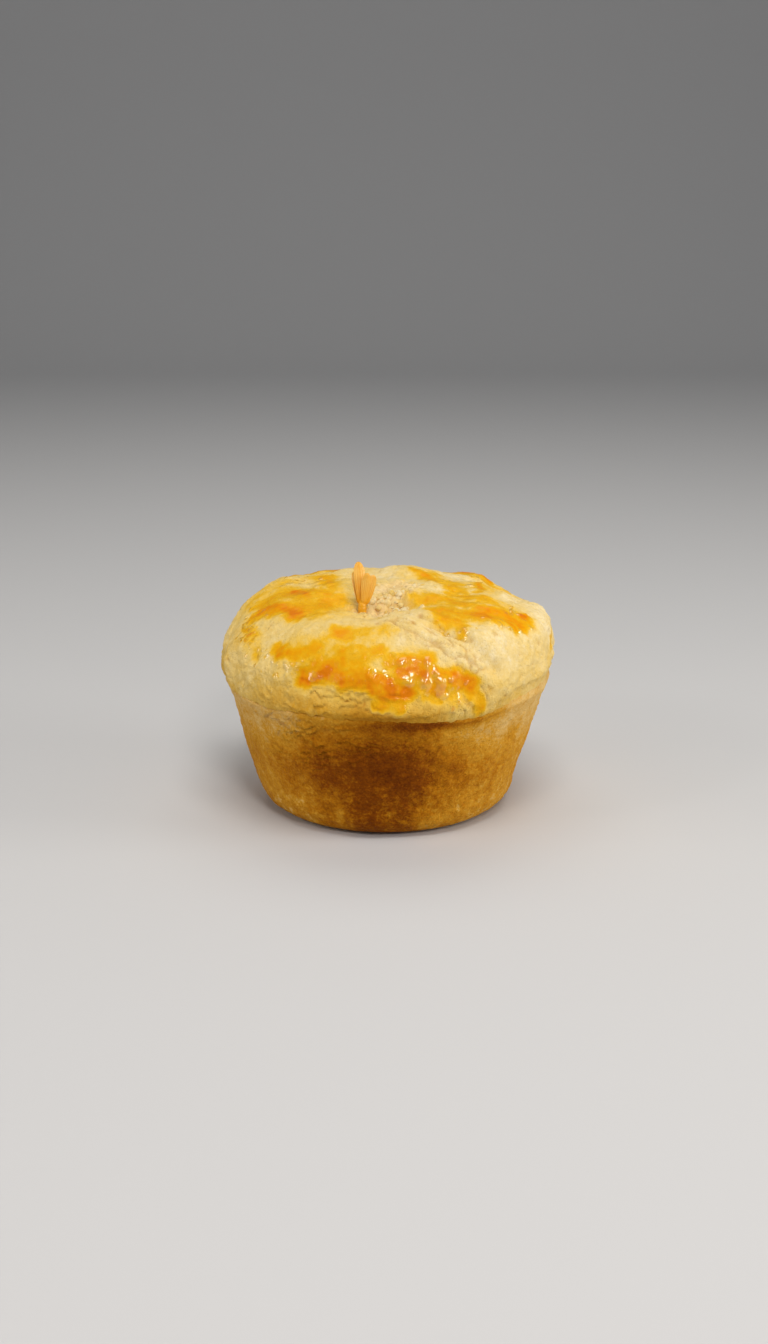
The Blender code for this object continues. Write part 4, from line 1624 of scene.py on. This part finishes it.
@dataclass(frozen=True)
class DoughFinish:
    """Baked shortcrust: pale where it rose, browner where it met the mould, amber under the egg wash.

    The patches are the sizes of three noises, and the mottle is how much each of them changes the browning.
    The cover of torn dough is how strongly its tint shows where it is full, and the painted shade cover how
    strongly painted shade darkens hollows where they are full. The film is how much wash begins to hide the
    dough, and how much hides it.
    """

    name: str
    toast_stops: Stops
    wash_stops: Stops = (
        (0.0, colour(224, 197, 114)),
        (0.3, colour(225, 184, 78)),
        (0.45, colour(222, 171, 36)),
        (0.58, colour(219, 160, 10)),
        (0.7, colour(217, 150, 4)),
        (0.85, colour(217, 136, 2)),
        (1.0, colour(209, 116, 1)),
    )
    painted_shade_tint: Tint = colour(206, 168, 108)
    torn_tint: Tint = colour(229, 199, 145)
    roughness: float = 0.7
    washed_roughness: float = 0.45
    specular: float = 0.06
    patches: Triple = (6 * MM, 1.7 * MM, 0.5 * MM)
    mottle: Triple = (0.36, 0.38, 0.3)
    wash_mottle: Pair = (0.24, 0.16)
    film: Pair = (0.02, 0.46)
    torn_cover: float = 0.7
    painted_shade_cover: float = 0.75
    coat: float = 1.0
    coat_satin: float = 0.05
    coat_roughness: float = 0.13
    coat_index: float = 1.75
    glint: float = 0.9 * MM
    pore: float = 0.55 * MM
    grit: Pair = (0.32 * MM, 0.8 * MM)
    grit_height: float = 0.11 * MM

    def dress(self, piece: bpy.types.Object) -> None:
        """Gives a piece this finish.

        Args:
            piece: A piece whose mesh has the values toast, wash, gloss, hollow and torn, 0 where missing.
        """
        sketch = NodeSketch(self.name)
        coarse, middling, fine = (sketch.noise(size) for size in self.patches)
        toast = sketch.value_of("toast")
        for noise, amount in zip((coarse, middling, fine), self.mottle):
            toast = sketch.count("ADD", toast, sketch.sway(noise, amount))
        dough = sketch.ramp(toast, self.toast_stops)
        torn = sketch.fade(sketch.value_of("torn"), 0.2, 1.0, 0, self.torn_cover)
        dough = sketch.blend(torn, dough, self.torn_tint)
        brushed = sketch.value_of("wash")
        middling_sway, fine_sway = self.wash_mottle
        mottle = sketch.count("ADD", sketch.sway(middling, middling_sway), sketch.sway(fine, fine_sway))
        held = sketch.count("MULTIPLY", mottle, sketch.fade(brushed, 0.1, 0.5))
        wash = sketch.count("ADD", brushed, held)
        tint = sketch.blend(sketch.fade(wash, *self.film), dough, sketch.ramp(wash, self.wash_stops))
        # Painted shade: the hollows' value darkens the colour by the painted shade tint.
        hollow = sketch.fade(sketch.value_of("hollow"), 0.1, 0.9, 0, self.painted_shade_cover)
        tint = sketch.blend(hollow, tint, self.painted_shade_tint, "MULTIPLY")
        sketch.feed(sketch.shader.inputs["Base Color"], tint)

        gloss = sketch.fade(wash, 0.25, 0.75)
        rough = sketch.fade(gloss, 0, 1, self.roughness, self.washed_roughness)
        sketch.feed(sketch.shader.inputs["Roughness"], sketch.count("ADD", rough, sketch.sway(fine, 0.2)))
        shine = sketch.count("ADD", sketch.value_of("gloss"), sketch.sway(sketch.noise(self.glint, 2.0), 1.7))
        shine = sketch.fade(shine, 0.5, 0.64, 0, self.coat)
        satin = sketch.fade(gloss, 0, 1, 0, self.coat_satin)
        sketch.feed(sketch.shader.inputs["Coat Weight"], sketch.count("MAXIMUM", shine, satin))
        sketch.set(Coat_Roughness=self.coat_roughness, Coat_IOR=self.coat_index)
        sketch.set(Specular_IOR_Level=self.specular)
        fine_grit, coarse_grit = self.grit
        grit, pores = sketch.noise(fine_grit, 3.0), sketch.fade(sketch.cells(self.pore), 0, 0.45)
        grit = sketch.count("ADD", grit, pores)
        grit = sketch.count("ADD", grit, sketch.noise(coarse_grit, 2.0))
        eased = sketch.count("MULTIPLY", grit, sketch.fade(gloss, 0, 1, 1.0, 0.25))
        sketch.bump(eased, self.grit_height, 1.0)
        piece.data.materials.append(sketch.material)


@dataclass(frozen=True)
class ShellFinish:
    """Cooked shrimp shell: orange, paler partway along the paddles, with deeper lines between the ribs."""

    name: str = "cooked_shell"
    along_stops: Stops = (
        (0.0, colour(226, 163, 34)),
        (0.35, colour(222, 156, 24)),
        (0.6, colour(229, 174, 72)),
        (0.85, colour(231, 182, 86)),
        (1.0, colour(222, 158, 42)),
    )
    rib_tint: Tint = colour(218, 140, 26)
    rib_cover: float = 0.6
    patch: float = 1.4 * MM
    grain: float = 0.35 * MM
    grain_height: float = 0.05 * MM

    def dress(self, piece: bpy.types.Object) -> None:
        """Gives a piece this finish.

        Args:
            piece: A piece whose mesh has the values along and rib.
        """
        sketch = NodeSketch(self.name)
        patches, fine = sketch.noise(self.patch), sketch.noise(self.grain)
        along = sketch.count("ADD", sketch.value_of("along"), sketch.sway(patches, 0.5))
        tint = sketch.ramp(along, self.along_stops)
        ribs = sketch.fade(sketch.value_of("rib"), 0.35, 1.0, 0, self.rib_cover)
        tint = sketch.blend(ribs, tint, self.rib_tint)
        sketch.feed(sketch.shader.inputs["Base Color"], tint)
        sketch.feed(sketch.shader.inputs["Roughness"], sketch.fade(fine, 0.3, 0.7, 0.28, 0.45))
        sketch.set(Coat_Weight=0.2, Coat_Roughness=0.2, Specular_IOR_Level=0.2)
        sketch.bump(fine, self.grain_height, 0.5)
        piece.data.materials.append(sketch.material)


LID_FINISH = DoughFinish(
    "baked_lid",
    (
        (0.0, colour(228, 208, 160)),
        (0.13, colour(223, 197, 135)),
        (0.27, colour(221, 190, 115)),
        (0.45, colour(214, 174, 82)),
        (0.7, colour(200, 147, 42)),
        (1.0, colour(174, 113, 16)),
    ),
)
CASE_FINISH = DoughFinish(
    "baked_case",
    (
        (0.0, colour(222, 194, 136)),
        (0.2, colour(211, 171, 98)),
        (0.4, colour(199, 143, 38)),
        (0.6, colour(173, 109, 10)),
        (0.8, colour(130, 67, 1)),
        (1.0, colour(96, 41, 1)),
    ),
    mottle=(0.14, 0.3, 0.42),
)
CRUMB_FINISH = DoughFinish("torn_crumbs", LID_FINISH.toast_stops)


@dataclass(frozen=True)
class SoftLight:
    """A rectangular lamp: where it hangs, what it aims at, its sides and its power in watts."""

    name: str
    place: Triple
    aim: Triple
    sides: Pair
    power: float
    tint: Triple = (1.0, 1.0, 1.0)

    def hang(self) -> None:
        """Adds the lamp to the scene."""
        lamp = bpy.data.lights.new(self.name, "AREA")
        lamp.shape = "RECTANGLE"
        lamp.size, lamp.size_y = self.sides
        lamp.energy = self.power
        lamp.color = self.tint
        holder = bpy.data.objects.new(self.name, lamp)
        holder.location = self.place
        holder.rotation_euler = (Vector(self.aim) - Vector(self.place)).to_track_quat("-Z", "Y").to_euler()
        bpy.context.scene.collection.objects.link(holder)


@dataclass(frozen=True)
class Studio:
    """A pale floor that curves up behind, soft lamps, and the camera."""

    lens: float = 50.0
    sensor_height: float = 36.0
    camera_place: Triple = (0.0, -0.41219, 0.15280)
    camera_down: float = 16.56
    camera_turn: float = 0.0614
    floor_front: float = -1.6
    floor_back: float = 0.75
    half_width: float = 1.7
    curve_radius: float = 0.5
    wall_height: float = 1.7
    floor_below: float = 0.05 * MM
    nearest_seen: float = 0.01
    floor_tint: Tint = (0.56, 0.555, 0.55, 1.0)
    world_tint: Tint = (0.9, 0.94, 1.0, 1.0)
    world_strength: float = 0.18
    lamps: tuple[SoftLight, ...] = (
        SoftLight("front_key", (0.06, -0.3, 0.62), (0, 0, 0.04), (0.3, 0.22), 2.15, (1.0, 0.98, 0.95)),
        SoftLight("overhead", (0.0, 0.22, 0.58), (0, 0, 0.03), (0.5, 0.4), 1.0, (1.0, 0.98, 0.95)),
        SoftLight("left_side", (-0.5, -0.12, 0.14), (0, 0, 0.025), (0.2, 0.25), 0.65, (1.0, 0.97, 0.92)),
        SoftLight("right_side", (0.5, -0.1, 0.14), (0, 0, 0.025), (0.2, 0.25), 1.3, (1.0, 0.97, 0.92)),
        SoftLight("front_glint", (0.12, -0.62, 0.46), (0, 0, 0.04), (0.14, 0.1), 1.5, (1.0, 0.94, 0.92)),
        SoftLight("left_glint", (-0.5, -0.35, 0.42), (0, 0, 0.04), (0.08, 0.08), 0.35, (1.0, 0.94, 0.92)),
    )

    def build_floor(self) -> None:
        """The floor: a path forward, round a quarter circle and up, swept across the width."""
        turn = np.linspace(0, math.pi / 2, 24)
        curve = np.stack([
            self.floor_back + self.curve_radius * np.sin(turn), self.curve_radius * (1 - np.cos(turn))
        ], axis=1)
        path = np.concatenate([
            [[self.floor_front, 0.0]], curve, [[self.floor_back + self.curve_radius, self.wall_height]]
        ])
        sides = np.array([-self.half_width, self.half_width])
        points = np.array([(side, y, z - self.floor_below) for y, z in path for side in sides])
        first = np.arange(len(path) - 1) * 2
        faces = np.stack([first, first + 1, first + 3, first + 2], axis=1)
        mesh = bpy.data.meshes.new("studio_floor")
        mesh.from_pydata(points.tolist(), [], faces.tolist())
        mesh.shade_smooth()
        floor = bpy.data.objects.new("studio_floor", mesh)
        bpy.context.scene.collection.objects.link(floor)
        sketch = NodeSketch("studio_paper")
        sketch.set(Base_Color=self.floor_tint, Roughness=0.85, Specular_IOR_Level=0.2)
        mesh.materials.append(sketch.material)

    def build_camera(self) -> None:
        """The camera at the photograph's viewing angle."""
        lens = bpy.data.cameras.new("camera")
        lens.lens = self.lens
        lens.sensor_fit = "VERTICAL"
        lens.sensor_height = self.sensor_height
        lens.clip_start = self.nearest_seen
        camera = bpy.data.objects.new("camera", lens)
        camera.location = self.camera_place
        tilt, turn = math.radians(90 - self.camera_down), math.radians(self.camera_turn)
        camera.rotation_euler = Euler((tilt, 0, turn))
        bpy.context.scene.collection.objects.link(camera)
        bpy.context.scene.camera = camera

    def build(self) -> None:
        """Sets up the floor, the lamps, the surrounding light and the camera."""
        self.build_floor()
        self.build_camera()
        for lamp in self.lamps:
            lamp.hang()
        world = bpy.data.worlds.new("studio_air")
        world.use_nodes = True
        backdrop = world.node_tree.nodes["Background"]
        backdrop.inputs["Color"].default_value = self.world_tint
        backdrop.inputs["Strength"].default_value = self.world_strength
        bpy.context.scene.world = world
        bpy.context.scene.view_settings.view_transform = "Standard"


def join_to_model(piece: bpy.types.Object, slot: Slot, node: str | None = None) -> None:
    """Lets a piece ride on the pie, in place of a solid where it stands for one.

    Args:
        piece: The finished piece.
        slot: The record's slot for its finish; not used.
        node: The solid that it replaces.
    """
    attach(piece, "root")
    if node is not None:
        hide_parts(node)
    LOG.info("%s: %d points", piece.name, len(piece.data.vertices))


def main() -> None:
    """Builds every piece in order, then the studio round them."""
    logging.basicConfig(level=logging.INFO, format="%(name)s: %(message)s")
    lid = CrustLid()
    lid_piece, case_piece, crumbs = lid.build(), CrustCase().build(), Crumbs().build(lid)
    LID_FINISH.dress(lid_piece)
    CASE_FINISH.dress(case_piece)
    CRUMB_FINISH.dress(crumbs)
    join_to_model(lid_piece, Slot.CRUST, "crust")
    join_to_model(case_piece, Slot.CRUST, "crust")
    join_to_model(crumbs, Slot.CRUST)
    for piece in ShrimpTail().build():
        ShellFinish().dress(piece)
        join_to_model(piece, Slot.SHRIMP, "shrimp_tail")
    Studio().build()


if __name__ == "__main__":
    main()
